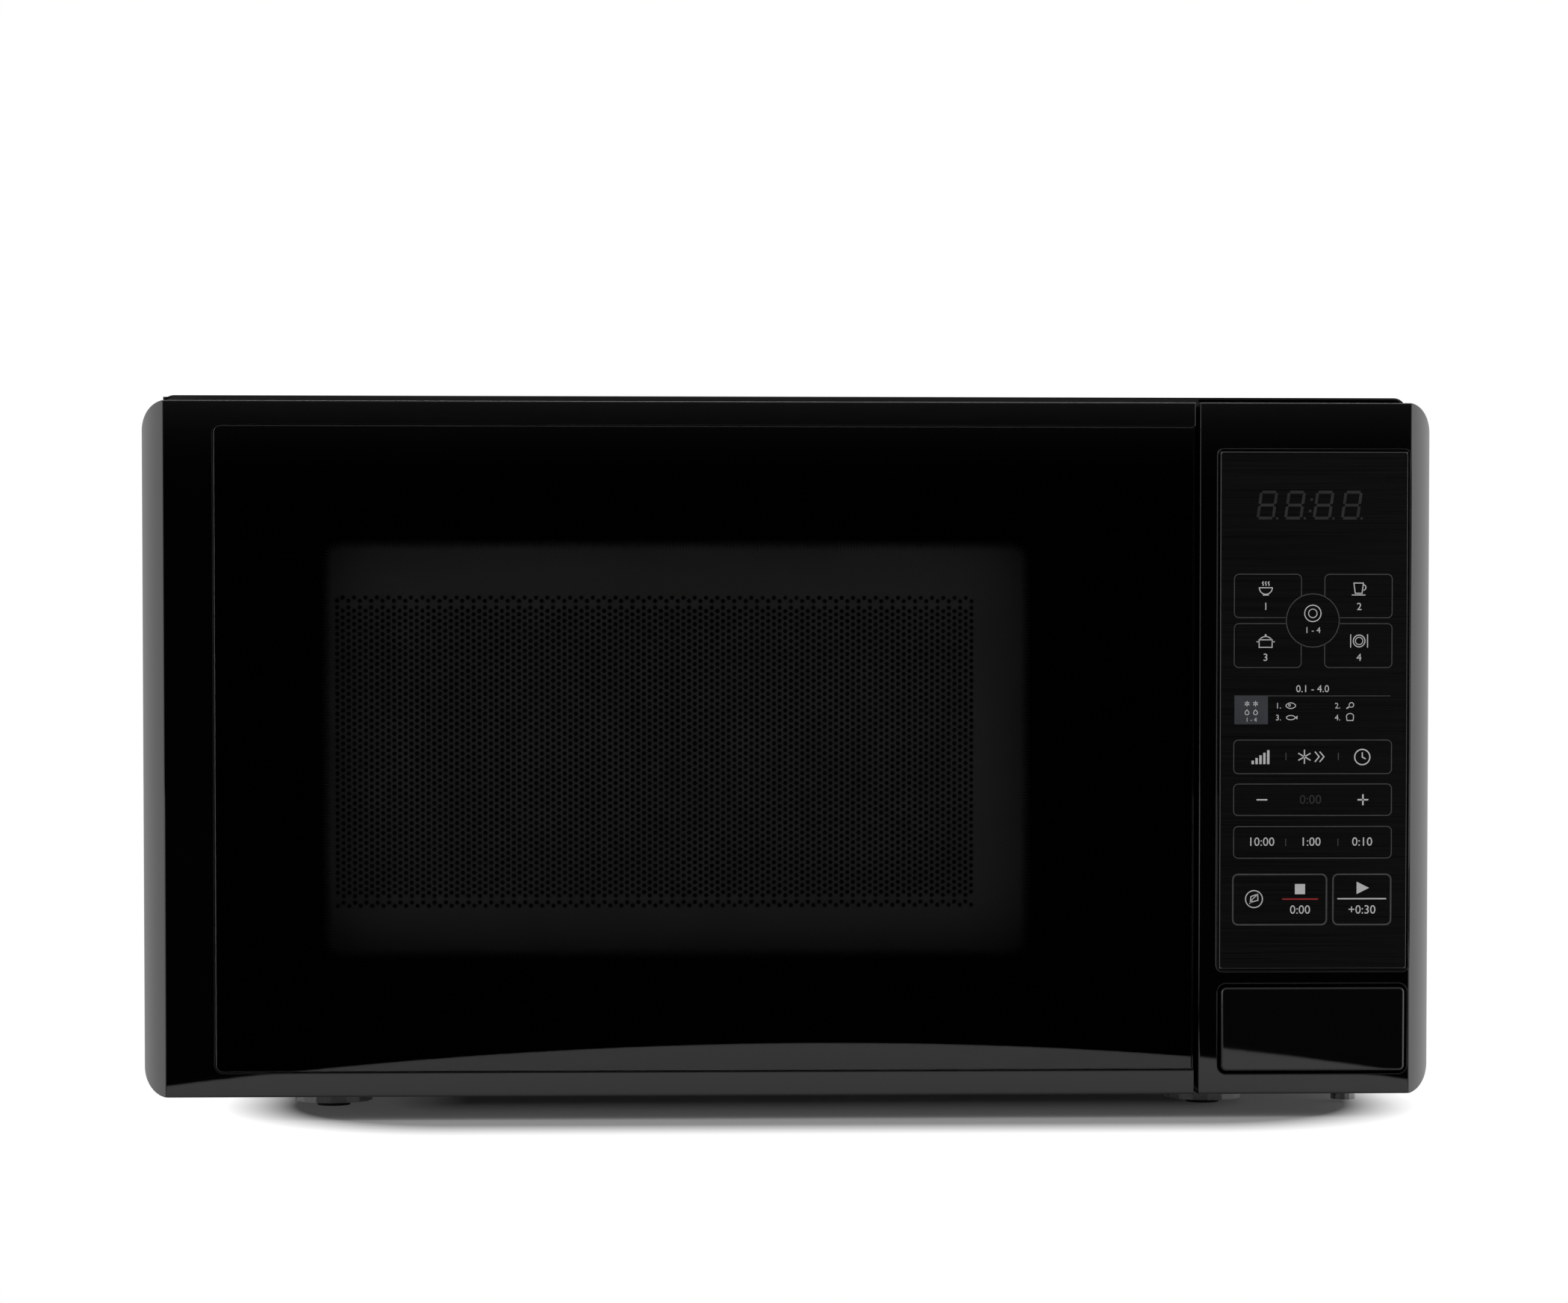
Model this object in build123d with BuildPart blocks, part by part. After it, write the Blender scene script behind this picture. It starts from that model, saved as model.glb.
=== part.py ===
from build123d import *
from math import cos, radians, sin, sqrt
import os

# Overall sizes, in millimetres. X runs to the viewer's right, Y to the back, Z up from the table.
WIDTH = 455.0
DEPTH = 336.0
HEIGHT = 256.0

# Door and control panel mouldings
MOULDING_LOW = 8.4
MOULDING_HEIGHT = 243.6
MOULDING_DEPTH = 32.0
MOULDING_WALL = 2.5
OUTLINE_RADIUS = 9.8
SLANT_WIDTH = 8.7
SLANT_DEPTH = 12.0
SLANT_CROWN = 0.5
EDGE_RADIUS = 0.5
DOOR_WIDTH = 370.1
SPLIT_GAP = 1.4
SEAL_GAP = 0.5

# Door glass, the frame's window behind it, the screen and its choke channel
GLASS_THICKNESS = 3.4
GLASS_PROUD = 0.4
GLASS_LEFT_BAR = 26.2
GLASS_LOW_BAR = 8.8
GLASS_TOP_BAR = 8.6
GLASS_RIGHT_STEP = 0.8
GLASS_CORNER = 2.6
GLASS_GAP = 0.3
GLASS_CHAMFER = 0.4
FRAME_BACKING = 2.5
FRAME_WINDOW = (266.0, 164.0)
FRAME_WINDOW_CENTRE = (-40.0, 130.0)
HOLLOW_LEFT_MARGIN = 13.0
CHOKE_SIZE = (334.0, 216.0)
LEDGE_SIZE = (290.0, 180.0)
SCREEN_SIZE = (264.0, 152.0)
SCREEN_LAP = 6.0
CHOKE_SHEET = 0.6
CHOKE_DEPTH = 22.0
SCREEN_SETBACK = 21.0
CHOKE_TOOTH_GAP = (5.0, 12.0)
CHOKE_TOOTH_PITCH = 44.0
CHOKE_TEETH = (7, 5)
INNER_WINDOW_SIZE = (286.0, 176.0)
INNER_WINDOW_THICKNESS = 1.0
COVER_WINDOW_SIZE = (274.0, 164.0)
COVER_WINDOW_CORNER = 5.0
COVER_WINDOW_CHAMFER = 1.2

# Hinges
HINGE_INSET = 10.3
HINGE_ROUND = 12.0
HINGE_PIN_RADIUS = 2.0
HINGE_FIT = 0.05
HINGE_PLATE = 2.0
HINGE_TONGUE_WIDTH = 12.0
TONGUE_ROOM = (8.6, 6.6)
HINGE_STEP = 1.2
HINGE_BOSS_RADIUS = 6.5
HINGE_BOSS_HEIGHT = 12.0
HINGE_PLAY = 0.2
BOSS_CLEAR = 0.5
HINGE_HEAD = (2.8, 1.8)
HINGE_FLANGE_HEIGHT = 34.0
HINGE_FLANGE_WIDTH = 18.0
HINGE_TONGUE_STEP = 1.6
HINGE_PIN_SHORT = 2.0

# Control panel
FILM_SIZE = (66.2, 182.0)
FILM_CENTRE = (184.5, 143.75)
FILM_CORNER = 1.2
FILM_THICKNESS = 0.5
FILM_GROOVE = 0.8
FILM_PROUD = 0.15
FILM_CHAMFER = 0.2
RIM_CHAMFER = 0.4
DISPLAY_HOLE = (50.0, 20.0)
DISPLAY_CENTRE = (183.4, 216.2)
PANEL_WALL = 3.0
PANEL_SIDE = 7.5
PANEL_RIB = (1.4, 6.0)
PANEL_RIB_HEIGHTS = (92.0, 120.0, 148.0, 176.0)
BOARD_SIZE = (64.0, 168.0)
BOARD_CENTRE_Z = 150.0
BOARD_SETBACK = 16.0
BOARD_THICKNESS = 1.6
BOARD_POST = 5.0
BOARD_POST_INSET = (4.0, 5.0)
DISPLAY_CLEAR = 0.5
BOARD_PARTS = (((168.0, 212.0), (22.0, 16.0), 12.0), ((200.0, 206.0), (18.0, 20.0), 11.0),
               ((170.0, 130.0), (30.0, 24.0), 12.0), ((203.0, 140.0), (12.0, 16.0), 10.0),
               ((203.0, 112.0), (12.0, 12.0), 8.0), ((180.0, 90.0), (34.0, 10.0), 6.0))

# Release button, lever and latch
BUTTON_PROUD = 1.5
BUTTON_LOW_PROUD = 1.2
BUTTON_SIZE = (64.9, 29.5)
BUTTON_CENTRE = (184.45, 31.4)
BUTTON_CORNER = 1.8
BUTTON_GAP = 0.9
BUTTON_CHAMFER = 0.5
BUTTON_DEPTH = 9.0
BUTTON_WALL = 2.0
BUTTON_FACE_WALL = 4.5
LEG_WIDTH = 4.0
LEG_NOSE = 2.0
LEG_X = 156.2
LEG_SINK = 0.3
LEG_CLEAR = 0.3
LEVER_PIVOT = (-125.0, 57.0)
LEVER_LEG_DROP = 19.0
LEVER_SHAFT = 2.5
LEVER_FIT = 0.05
LEVER_ARM = 2.7
LEVER_TIP = (11.0, 8.6)
LEVER_SPRING_Y = 6.5
LEVER_SPRING_LENGTH = 10.3
LEVER_SPRING_RADII = (2.5, 1.8)
LEVER_SPRING_SEAT = 3.0
LEVER_TIP_LAND = 2.0
LEVER_LEFT = 122.7
LEVER_LENGTH = 37.3
HOOK_X = 131.5
HOOK_WIDTH = 5.0
HOOK_LOW = 70.0
HOOK_HEIGHT = 6.0
HOOK_NOSE = 4.0
HOOK_SPAN = 100.0
HOOK_REACH = 23.5
HOOK_NOSE_LENGTH = 6.0
LATCH_BAR = (6.0, 7.0)
LATCH_BAR_LOW = 60.0
LATCH_SETBACK = 5.0
LATCH_BAR_HIGH = 184.0
LATCH_SLOT = (12.0, 20.0)
LATCH_SPRING_RADII = (2.8, 2.0)
LATCH_SPRING_LENGTH = 16.0
LATCH_GUIDE_SHEET = 3.0
LATCH_GUIDE_RISE = 12.0
LATCH_GUIDE_LIP = 1.0
LATCH_PLAY = 0.4
LATCH_BOARD_SIDES = (114.0, 146.0)
LATCH_BOARD_TOP = 200.0
LATCH_BOARD_SHEET = 3.0
LATCH_EARS = ((123.0, 126.0), (139.5, 142.5))
LATCH_EAR_MARGIN = 6.0
LATCH_SHELF = 2.0
LATCH_FIN = (-92.5, 198.0)
SWITCH_SIZE = (11.0, 16.0, 28.0)
SWITCH_DROP = 8.0
SWITCH_CLEAR = 2.5
SWITCH_PLACES = ((128.5, HOOK_LOW), (128.5, HOOK_LOW + HOOK_SPAN), (117.5, HOOK_LOW))
PLUNGER_SIZE = (3.0, 4.0)
PLUNGER_REACH = 2.0
PLUNGER_PLACE = (5.0, 12.0)

# Cabinet sheet metal
SHEET = 0.7
COVER_SHEET = 0.6
COVER_WIDTH = 446.0
COVER_CORNER = 4.5
COVER_LOW = 9.4
COVER_VENT = (3.5, 20.0)
COVER_VENT_GRID = (11.0, 0, 8, 1)
BASE_LOW = 9.0
BASE_FLANGE = 14.0
BASE_FLANGE_START = 8.0
BASE_NOTCH = (16.0, 0.5)
BASE_VENT = (4.0, 60.0)
BASE_VENT_GRID = (10.0, 0, 9, 1)
PLATE_RIGHT = 148.0
PLATE_NOTCH = (8.0, 6.0)
COVER_HEM = 14.0
COVER_RIGHT_VENTS = ((60.0, 60.0), (60.0, 90.0))
COVER_LEFT_VENTS = (90.0, 200.0)
BACK_PLATE_Y = 162.0
PAD_SIZE = (270.0, 170.0)
PAD_CENTRE = (-46.0, 132.0)
PAD_CORNER = 14.0
GLAND = (196.0, 54.0)
GLAND_RADIUS = 7.0
GLAND_SIDES = 8
GLAND_BORE = 4.0
GLAND_LIP = (19.0, 3.0)
GLAND_CATCH = (18.0, 12.0, 2.5)
GLAND_FIT = 0.05
SCREW_SIZE = (4.0, 2.0)
SCREW_SIDES = 6
SCREW_PLACES = ((-216, 40), (-216, 130), (-216, 225), (216, 70), (216, 130), (216, 225),
                (-110, 248), (110, 248))
BACK_VENT = (4.0, 38.0)
BACK_VENT_GRID = (10.0, 46.0, 8, 2)
FOOT_HEIGHT = 1.8
FOOT_RADIUS = 6.0
FOOT_PLACES = ((-164.5, -110.0), (153.5, -110.0), (-164.5, 125.0), (153.5, 125.0))
BOSS_RADIUS = 14.0
DIMPLE_PLACE = (205.0, -112.0)
DIMPLE_RADIUS = 4.5
DIMPLE_LOW = 1.0

# Oven cavity
CAVITY_SIZE = (312.0, 200.0)
CAVITY_CENTRE = (-46.0, 129.0)
CAVITY_DEPTH = 290.0
CAVITY_CORNER = 9.0
TRACK_RADIUS = 112.0
TRACK_SINK = 2.0
SHAFT_HOLE = 8.0
VENT_RADIUS = 2.8
VENT_PITCH = 8.0
EXHAUST = (105.0, 196.0)
LAMP = (-66.0, 200.0)

# Turntable
TRAY_RADIUS = 122.5
TRAY_THICKNESS = 5.0
TRAY_RIM = 14.0
TRAY_LIP = 3.0
TRAY_FLARE = 13.0
ROLLER_RADIUS = 6.8
ROLLER_WIDTH = 7.0
ROLLER_ORBIT = 86.0
ROLLER_AXLE = 2.0
ROLLER_FIT = 0.06
ROLLER_ANGLES = (90.0, 210.0, 330.0)
RING_INNER = 77.0
RING_OUTER = 83.5
RING_HEIGHT = 6.0
RUN_GAP = 0.2
COUPLER_HUB = 9.0
COUPLER_REACH = 22.0
COUPLER_ARM = 9.0
SHAFT_RADIUS = 3.5
SHAFT_FIT = 0.06
SHAFT_FOOT = 4.0
TURN_MOTOR_RADIUS = 24.5
TURN_MOTOR_LIFT = 1.5
TURN_MOTOR_LUGS = (68.0, 12.0)
TURN_MOTOR_LUG_SHEET = 1.5
TURN_MOTOR_FLAT = 19.0
COUPLER_LIFT = 1.0
COUPLER_THICKNESS = 7.0
COUPLER_CLEAR = 0.3
LUG_ORBIT = 17.0
LUG_SIZE = 7.0
LUG_DROP = 4.0
AXLE_HEAD = (3.2, 1.5)
AXLE_HEAD_GAP = 0.3
LAMP_STEPS = ((3.0, 3.0, 5.5), (6.0, 13.0, 8.5), (19.0, 9.0, 7.0))
LAMP_BOX = (46.0, 34.0)
LAMP_BOX_WALL = 2.0
LAMP_BOX_DEPTH = 28.0
CUTOUT_RADIUS = 8.0
CUTOUT_HEIGHT = 7.0
CUTOUT_ON_YOKE = 24.0
CUTOUT_ON_ROOF = 40.0

# Power pieces beside the cavity
WAVEGUIDE_DEPTH = 25.0
WAVEGUIDE_SIZE = (90.0, 76.0)
WAVEGUIDE_CENTRE = (65.0, 176.0)
PORT_SIZE = (80.0, 34.0)
PORT_CENTRE = (65.0, 157.0)
MICA_SIZE = (104.0, 54.0)
MICA_CORNER = 5.0
MICA_SHEET = 0.5
MAGNETRON_AXIS = (65.0, 186.0)
ANTENNA_HOLE = 13.0
ANODE_RADIUS = 19.0
MAGNET_RADIUS = 26.0
MAGNETRON_STEPS = ((-20.0, 2.0, 9.0), (2.0, 14.0, MAGNET_RADIUS), (14.0, 32.0, ANODE_RADIUS),
                   (32.0, 44.0, MAGNET_RADIUS))
YOKE_SIZE = (92.0, 78.0)
YOKE_DEPTH = 46.0
YOKE_SHEET = 2.0
FIN_COUNT = 5
FIN_FIRST = 15.5
FIN_PITCH = 3.5
FIN_SHEET = 0.6
FIN_INSET = 6.0
FILTER_BOX = (60.0, 60.0)
FILTER_DEPTH = 36.0
FILTER_SHEET = 1.0
FEEDTHROUGH = (6.0, 26.0)
FEEDTHROUGH_LENGTH = 16.0
FEEDTHROUGH_START = 8.0
TRANSFORMER = (172.0, -34.0)
CORE_SIZE = (76.0, 58.0, 64.0)
CORE_FOOT = (92.0, 50.0, 2.0)
CORE_WINDOW = (12.0, 40.0)
CORE_WINDOW_SHIFT = 18.0
WINDING_SIZE = (47.4, 82.0)
WINDING_LIMB = 24.0
WINDING_CORNER = 7.0
WINDING_HEIGHT = 18.0
WINDING_LIFTS = (13.0, 33.0)
CAPACITOR = (182.0, 60.0)
CAN_SIZE = (54.0, 32.0)
CAN_CORNER = 9.0
CAN_LENGTH = 84.0
TERMINAL = (8.0, 2.0)
TERMINAL_REACH = 9.0
TERMINAL_SHIFT = 10.0
CLAMP_SHEET = 1.0
CLAMP_WIDTH = 16.0
CLAMP_FOOT = 76.0
DIODE_SIZE = (8.0, 26.0)
DIODE_SHIFT = (-40.0, -12.0)
FILTER_CENTRE = (182.0, 139.0)
FILTER_SIZE = (64.0, 34.0)
FILTER_LIFT = 8.0
FILTER_COIL_RADIUS = 11.0
FILTER_COIL_SHIFT = 16.0
FILTER_BLOCKS = (((12.0, 7.0), (24.0, 12.0)), ((12.0, -9.0), (30.0, 7.0)))
FILTER_PARTS_HEIGHT = 18.0
FAN_CENTRE = (167.0, 172.0)
FAN_RADIUS = 44.0
FAN_HUB = 13.0
FAN_BLADES = 7
FAN_PITCH = 34.0
FAN_BLADE_SHEET = 1.4
FAN_CHORDS = (11.0, 21.0)
FAN_ROOT_SINK = 1.5
FAN_HUB_LENGTH = 14.0
FAN_SHAFT_RADIUS = 2.0
FAN_FIT = 0.06
FAN_MOTOR = (54.0, 44.0)
SHROUD_Y = 118.0
SHROUD_SHEET = 2.0
SHROUD_SPAN = (96.0, 248.0)
SHROUD_DEPTH = 24.0
SHROUD_CLEAR = 3.0
SHROUD_ARM = 8.0
SHROUD_ARM_HOLE = 10.0
FAN_MOTOR_CLEAR = 4.0
FAN_SHAFT_INSET = 2.0
FAN_SHAFT_FRONT = 6.0

# Number of sides of small round pieces that the cabinet hides
HIDDEN_SIDES = 16

# Places worked out from the sizes above
LEFT = -WIDTH / 2
RIGHT = WIDTH / 2
FRONT = -DEPTH / 2
BACK = DEPTH / 2
FACE = FRONT + BUTTON_PROUD
MOULDING_BACK = FACE + MOULDING_DEPTH
MOULDING_HIGH = MOULDING_LOW + MOULDING_HEIGHT
MOULDING_MID = MOULDING_LOW + MOULDING_HEIGHT / 2
DOOR_RIGHT = LEFT + DOOR_WIDTH
PANEL_LEFT = DOOR_RIGHT + SPLIT_GAP
HINGE_X = LEFT + HINGE_INSET
HINGE_Y = MOULDING_BACK - HINGE_ROUND
HOLLOW_LEFT = LEFT + HOLLOW_LEFT_MARGIN
HOLLOW_RIGHT = DOOR_RIGHT - MOULDING_WALL
HOLLOW_LOW = MOULDING_LOW + MOULDING_WALL
HOLLOW_HIGH = MOULDING_HIGH - MOULDING_WALL
GLASS_BACK = FACE + GLASS_THICKNESS - GLASS_PROUD
CHOKE_FRONT = GLASS_BACK + FRAME_BACKING
FILM_BACK = FACE + FILM_THICKNESS - FILM_PROUD
MEMBRANE_BACK = FILM_BACK + FILM_THICKNESS
PLATE_FRONT = MOULDING_BACK + SEAL_GAP
PLATE_BACK = PLATE_FRONT + SHEET
PANEL_BACK = PLATE_FRONT
CAVITY_LEFT = CAVITY_CENTRE[0] - CAVITY_SIZE[0] / 2
CAVITY_RIGHT = CAVITY_CENTRE[0] + CAVITY_SIZE[0] / 2
CAVITY_FLOOR = CAVITY_CENTRE[1] - CAVITY_SIZE[1] / 2
CAVITY_TOP = CAVITY_CENTRE[1] + CAVITY_SIZE[1] / 2
CAVITY_BACK = PLATE_BACK + CAVITY_DEPTH
WALL_RIGHT = CAVITY_RIGHT + SHEET
BASE_TOP = BASE_LOW + SHEET
TURN_X = CAVITY_CENTRE[0]
TURN_Y = PLATE_BACK + CAVITY_DEPTH / 2
TRACK_TOP = CAVITY_FLOOR - TRACK_SINK
ROLLER_Z = TRACK_TOP + RUN_GAP + ROLLER_RADIUS
TRAY_LOW = ROLLER_Z + ROLLER_RADIUS + RUN_GAP
COVER_INNER = COVER_WIDTH / 2 - COVER_SHEET
SEAT_X = WALL_RIGHT + WAVEGUIDE_DEPTH
HOOK_HEIGHTS = (HOOK_LOW, HOOK_LOW + HOOK_SPAN)


def facing_front(y):
    """Sketch plane at depth y: sketch x is X, sketch y is Z, and extrusions run to the front."""
    return Plane.XZ.offset(-y)


def facing_right(x):
    """Sketch plane at x: sketch x is Y, sketch y is Z, and extrusions run to the right."""
    return Plane.YZ.offset(x)


def level(z):
    """Sketch plane at height z, whose extrusions run up."""
    return Plane.XY.offset(z)


def upright(x, y, z):
    """Sketch plane through a point: sketch x is X, sketch y is Z, measured from the point."""
    return Plane(origin=(x, y, z), x_dir=(1, 0, 0), z_dir=(0, -1, 0))


def rectangle_between(low, high, mode=Mode.ADD):
    """Rectangle in the open sketch, given by two opposite corners."""
    with Locations(((low[0] + high[0]) / 2, (low[1] + high[1]) / 2)):
        Rectangle(high[0] - low[0], high[1] - low[1], mode=mode)


def block(low, high, mode=Mode.ADD):
    """Box in the open part, given by two opposite corners."""
    with Locations(tuple((a + b) / 2 for a, b in zip(low, high))):
        Box(*[b - a for a, b in zip(low, high)], mode=mode)


def slanted_side(edge, inward):
    """Plan points of a slanted outer side: its crease at the face, its crown and its back end."""
    slope = sqrt(SLANT_WIDTH ** 2 + SLANT_DEPTH ** 2)
    crease = (edge + inward * SLANT_WIDTH, FACE)
    crown = (edge + inward * (SLANT_WIDTH / 2 - SLANT_CROWN * SLANT_DEPTH / slope),
             FACE + SLANT_DEPTH / 2 - SLANT_CROWN * SLANT_WIDTH / slope)
    return crease, crown, (edge, FACE + SLANT_DEPTH)


def ring_wall(size, sheet):
    """Thin rectangular ring in the open sketch, its outer size given."""
    Rectangle(*size)
    Rectangle(*[side - 2 * sheet for side in size], mode=Mode.SUBTRACT)


def hidden_round(radius, mode=Mode.ADD):
    """Round outline in the open sketch of a piece that stays hidden, with few sides."""
    RegularPolygon(radius, HIDDEN_SIDES, mode=mode)


# Door frame: a moulded shell with a seat for the glass, a window and two hinge bosses
with BuildPart() as door_frame:
    with BuildSketch(facing_front(MOULDING_BACK)):
        with Locations((0, MOULDING_MID)):
            RectangleRounded(WIDTH, MOULDING_HEIGHT, OUTLINE_RADIUS)
    extrude(amount=MOULDING_DEPTH)
    crease, crown, slant_end = slanted_side(LEFT, 1)
    round_end = (LEFT, HINGE_Y + sqrt(HINGE_ROUND ** 2 - HINGE_INSET ** 2))
    round_middle = (HINGE_X - HINGE_ROUND * sin(radians(30)), HINGE_Y + HINGE_ROUND * cos(radians(30)))
    with BuildSketch(level(MOULDING_LOW)):
        with BuildLine():
            Polyline(crease, (DOOR_RIGHT, FACE), (DOOR_RIGHT, MOULDING_BACK), (HINGE_X, MOULDING_BACK))
            ThreePointArc((HINGE_X, MOULDING_BACK), round_middle, round_end)
            Line(round_end, slant_end)
            ThreePointArc(slant_end, crown, crease)
        make_face()
    extrude(amount=MOULDING_HEIGHT, mode=Mode.INTERSECT)
    fillet(door_frame.faces().sort_by(Axis.Y)[0].edges(), EDGE_RADIUS)
    with BuildSketch(facing_front(MOULDING_BACK)):
        rectangle_between((HOLLOW_LEFT, HOLLOW_LOW), (HOLLOW_RIGHT, HOLLOW_HIGH))
    extrude(amount=MOULDING_BACK - CHOKE_FRONT, mode=Mode.SUBTRACT)
    for boss_low in (MOULDING_LOW, MOULDING_HIGH - HINGE_BOSS_HEIGHT):
        with BuildSketch(level(boss_low)):
            with Locations((HINGE_X, HINGE_Y)):
                Circle(HINGE_BOSS_RADIUS)
        extrude(amount=HINGE_BOSS_HEIGHT)
    glass_seat_low = (LEFT + GLASS_LEFT_BAR - GLASS_GAP, MOULDING_LOW + GLASS_LOW_BAR - GLASS_GAP)
    glass_seat_high = (DOOR_RIGHT + 2 * GLASS_CORNER, MOULDING_HIGH - GLASS_TOP_BAR + GLASS_GAP)
    with BuildSketch(facing_front(GLASS_BACK)) as glass_seat:
        rectangle_between(glass_seat_low, glass_seat_high)
        fillet(glass_seat.vertices().group_by(Axis.X)[0], GLASS_CORNER + GLASS_GAP)
    extrude(amount=GLASS_BACK - FACE, mode=Mode.SUBTRACT)
    with BuildSketch(facing_front(CHOKE_FRONT)):
        with Locations(FRAME_WINDOW_CENTRE):
            Rectangle(*FRAME_WINDOW)
    extrude(amount=FRAME_BACKING, mode=Mode.SUBTRACT)
    tongue_room = HINGE_STEP + HINGE_PLATE + HINGE_PLAY
    for room_low in (MOULDING_LOW, MOULDING_HIGH - tongue_room):
        block((LEFT - 1, HINGE_Y - TONGUE_ROOM[0], room_low),
              (HINGE_X + TONGUE_ROOM[1], MOULDING_BACK + 1, room_low + tongue_room),
              mode=Mode.SUBTRACT)
        with Locations((HINGE_X, HINGE_Y, room_low + tongue_room / 2)):
            Cylinder(HINGE_PIN_RADIUS + HINGE_FIT, 2 * HINGE_BOSS_HEIGHT + 2, mode=Mode.SUBTRACT)

# Door glass: a little proud of its frame, square at the opening edge, with a polished bevel
with BuildPart() as door_glass:
    with BuildSketch(facing_front(GLASS_BACK)) as glass_outline:
        rectangle_between((LEFT + GLASS_LEFT_BAR, MOULDING_LOW + GLASS_LOW_BAR),
                          (DOOR_RIGHT - GLASS_RIGHT_STEP, MOULDING_HIGH - GLASS_TOP_BAR))
        fillet(glass_outline.vertices().group_by(Axis.X)[0], GLASS_CORNER)
    extrude(amount=GLASS_THICKNESS)
    chamfer(door_glass.faces().sort_by(Axis.Y)[0].edges(), GLASS_CHAMFER)

# Choke frame: a folded sheet, toothed at its outer wall, with a ledge set back for the screen
with BuildPart() as choke_frame:
    choke_middle = (CAVITY_CENTRE[0], MOULDING_MID)
    with BuildSketch(facing_front(CHOKE_FRONT + CHOKE_DEPTH)):
        with Locations(choke_middle):
            ring_wall(CHOKE_SIZE, CHOKE_SHEET)
    extrude(amount=CHOKE_DEPTH)
    with BuildSketch(facing_front(CHOKE_FRONT + CHOKE_DEPTH)):
        with Locations(choke_middle):
            with GridLocations(CHOKE_TOOTH_PITCH, CHOKE_SIZE[1] - CHOKE_SHEET, CHOKE_TEETH[0], 2):
                Rectangle(CHOKE_TOOTH_GAP[0], 3 * CHOKE_SHEET)
            with GridLocations(CHOKE_SIZE[0] - CHOKE_SHEET, CHOKE_TOOTH_PITCH, 2, CHOKE_TEETH[1]):
                Rectangle(3 * CHOKE_SHEET, CHOKE_TOOTH_GAP[0])
    extrude(amount=CHOKE_TOOTH_GAP[1], mode=Mode.SUBTRACT)
    with BuildSketch(facing_front(CHOKE_FRONT + CHOKE_SHEET)):
        with Locations(choke_middle):
            Rectangle(*CHOKE_SIZE)
            Rectangle(*LEDGE_SIZE, mode=Mode.SUBTRACT)
    extrude(amount=CHOKE_SHEET)
    with BuildSketch(facing_front(CHOKE_FRONT + SCREEN_SETBACK)):
        with Locations(choke_middle):
            ring_wall([side + 2 * CHOKE_SHEET for side in LEDGE_SIZE], CHOKE_SHEET)
    extrude(amount=SCREEN_SETBACK)
    with BuildSketch(facing_front(CHOKE_FRONT + SCREEN_SETBACK)):
        with Locations(choke_middle):
            Rectangle(*LEDGE_SIZE)
            Rectangle(*[side - 2 * SCREEN_LAP for side in SCREEN_SIZE], mode=Mode.SUBTRACT)
    extrude(amount=CHOKE_SHEET)

# Door screen: the sheet that carries the fine holes, welded to the front of the choke frame's ledge
SCREEN_BACK = CHOKE_FRONT + SCREEN_SETBACK - CHOKE_SHEET
with BuildPart() as door_screen:
    with BuildSketch(facing_front(SCREEN_BACK)):
        with Locations(choke_middle):
            Rectangle(*SCREEN_SIZE)
    extrude(amount=CHOKE_SHEET)

# Inner window: a clear plate that lies on the back of the screen
INNER_WINDOW_FRONT = CHOKE_FRONT + SCREEN_SETBACK
with BuildPart() as inner_window:
    with BuildSketch(facing_front(INNER_WINDOW_FRONT + INNER_WINDOW_THICKNESS)):
        with Locations(choke_middle):
            Rectangle(*INNER_WINDOW_SIZE)
    extrude(amount=INNER_WINDOW_THICKNESS)

# Choke cover: the moulded back of the door, with slots for the hooks
COVER_FRONT = CHOKE_FRONT + CHOKE_DEPTH
with BuildPart() as choke_cover:
    with BuildSketch(facing_front(MOULDING_BACK)):
        rectangle_between((HOLLOW_LEFT + GLASS_GAP, HOLLOW_LOW + GLASS_GAP),
                          (HOLLOW_RIGHT - GLASS_GAP, HOLLOW_HIGH - GLASS_GAP))
        with Locations(choke_middle):
            RectangleRounded(*COVER_WINDOW_SIZE, COVER_WINDOW_CORNER, mode=Mode.SUBTRACT)
        for corner_low in (HOLLOW_LOW - 1, MOULDING_HIGH - HINGE_BOSS_HEIGHT - 1):
            rectangle_between((HOLLOW_LEFT - 1, corner_low),
                              (HINGE_X + HINGE_BOSS_RADIUS + BOSS_CLEAR, corner_low + HINGE_BOSS_HEIGHT),
                              mode=Mode.SUBTRACT)
        for hook_low in HOOK_HEIGHTS:
            with Locations((HOOK_X, hook_low + HOOK_HEIGHT / 2)):
                Rectangle(*LATCH_SLOT, mode=Mode.SUBTRACT)
    extrude(amount=MOULDING_BACK - COVER_FRONT)
    window_wire = choke_cover.faces().sort_by(Axis.Y)[-1].inner_wires().sort_by(Wire.length)[-1]
    chamfer(window_wire.edges(), COVER_WINDOW_CHAMFER)

# Door latch: one bar with two hooks, their noses turned down
LATCH_BACK = MOULDING_BACK - LATCH_SETBACK
with BuildPart() as door_latch:
    with BuildSketch(facing_right(HOOK_X - LATCH_BAR[0] / 2)):
        rectangle_between((LATCH_BACK - LATCH_BAR[1], LATCH_BAR_LOW), (LATCH_BACK, LATCH_BAR_HIGH))
    extrude(amount=LATCH_BAR[0])
    with BuildSketch(facing_right(HOOK_X - HOOK_WIDTH / 2)):
        for hook_low in HOOK_HEIGHTS:
            tip = MOULDING_BACK + HOOK_REACH
            with BuildLine():
                Polyline((LATCH_BACK - 1, hook_low), (tip - HOOK_NOSE_LENGTH, hook_low),
                         (tip - HOOK_NOSE_LENGTH, hook_low - HOOK_NOSE),
                         (tip - HOOK_NOSE_LENGTH / 2, hook_low - HOOK_NOSE),
                         (tip, hook_low + HOOK_HEIGHT / 3), (tip, hook_low + HOOK_HEIGHT),
                         (LATCH_BACK - 1, hook_low + HOOK_HEIGHT), close=True)
            make_face()
    extrude(amount=HOOK_WIDTH)

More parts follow.
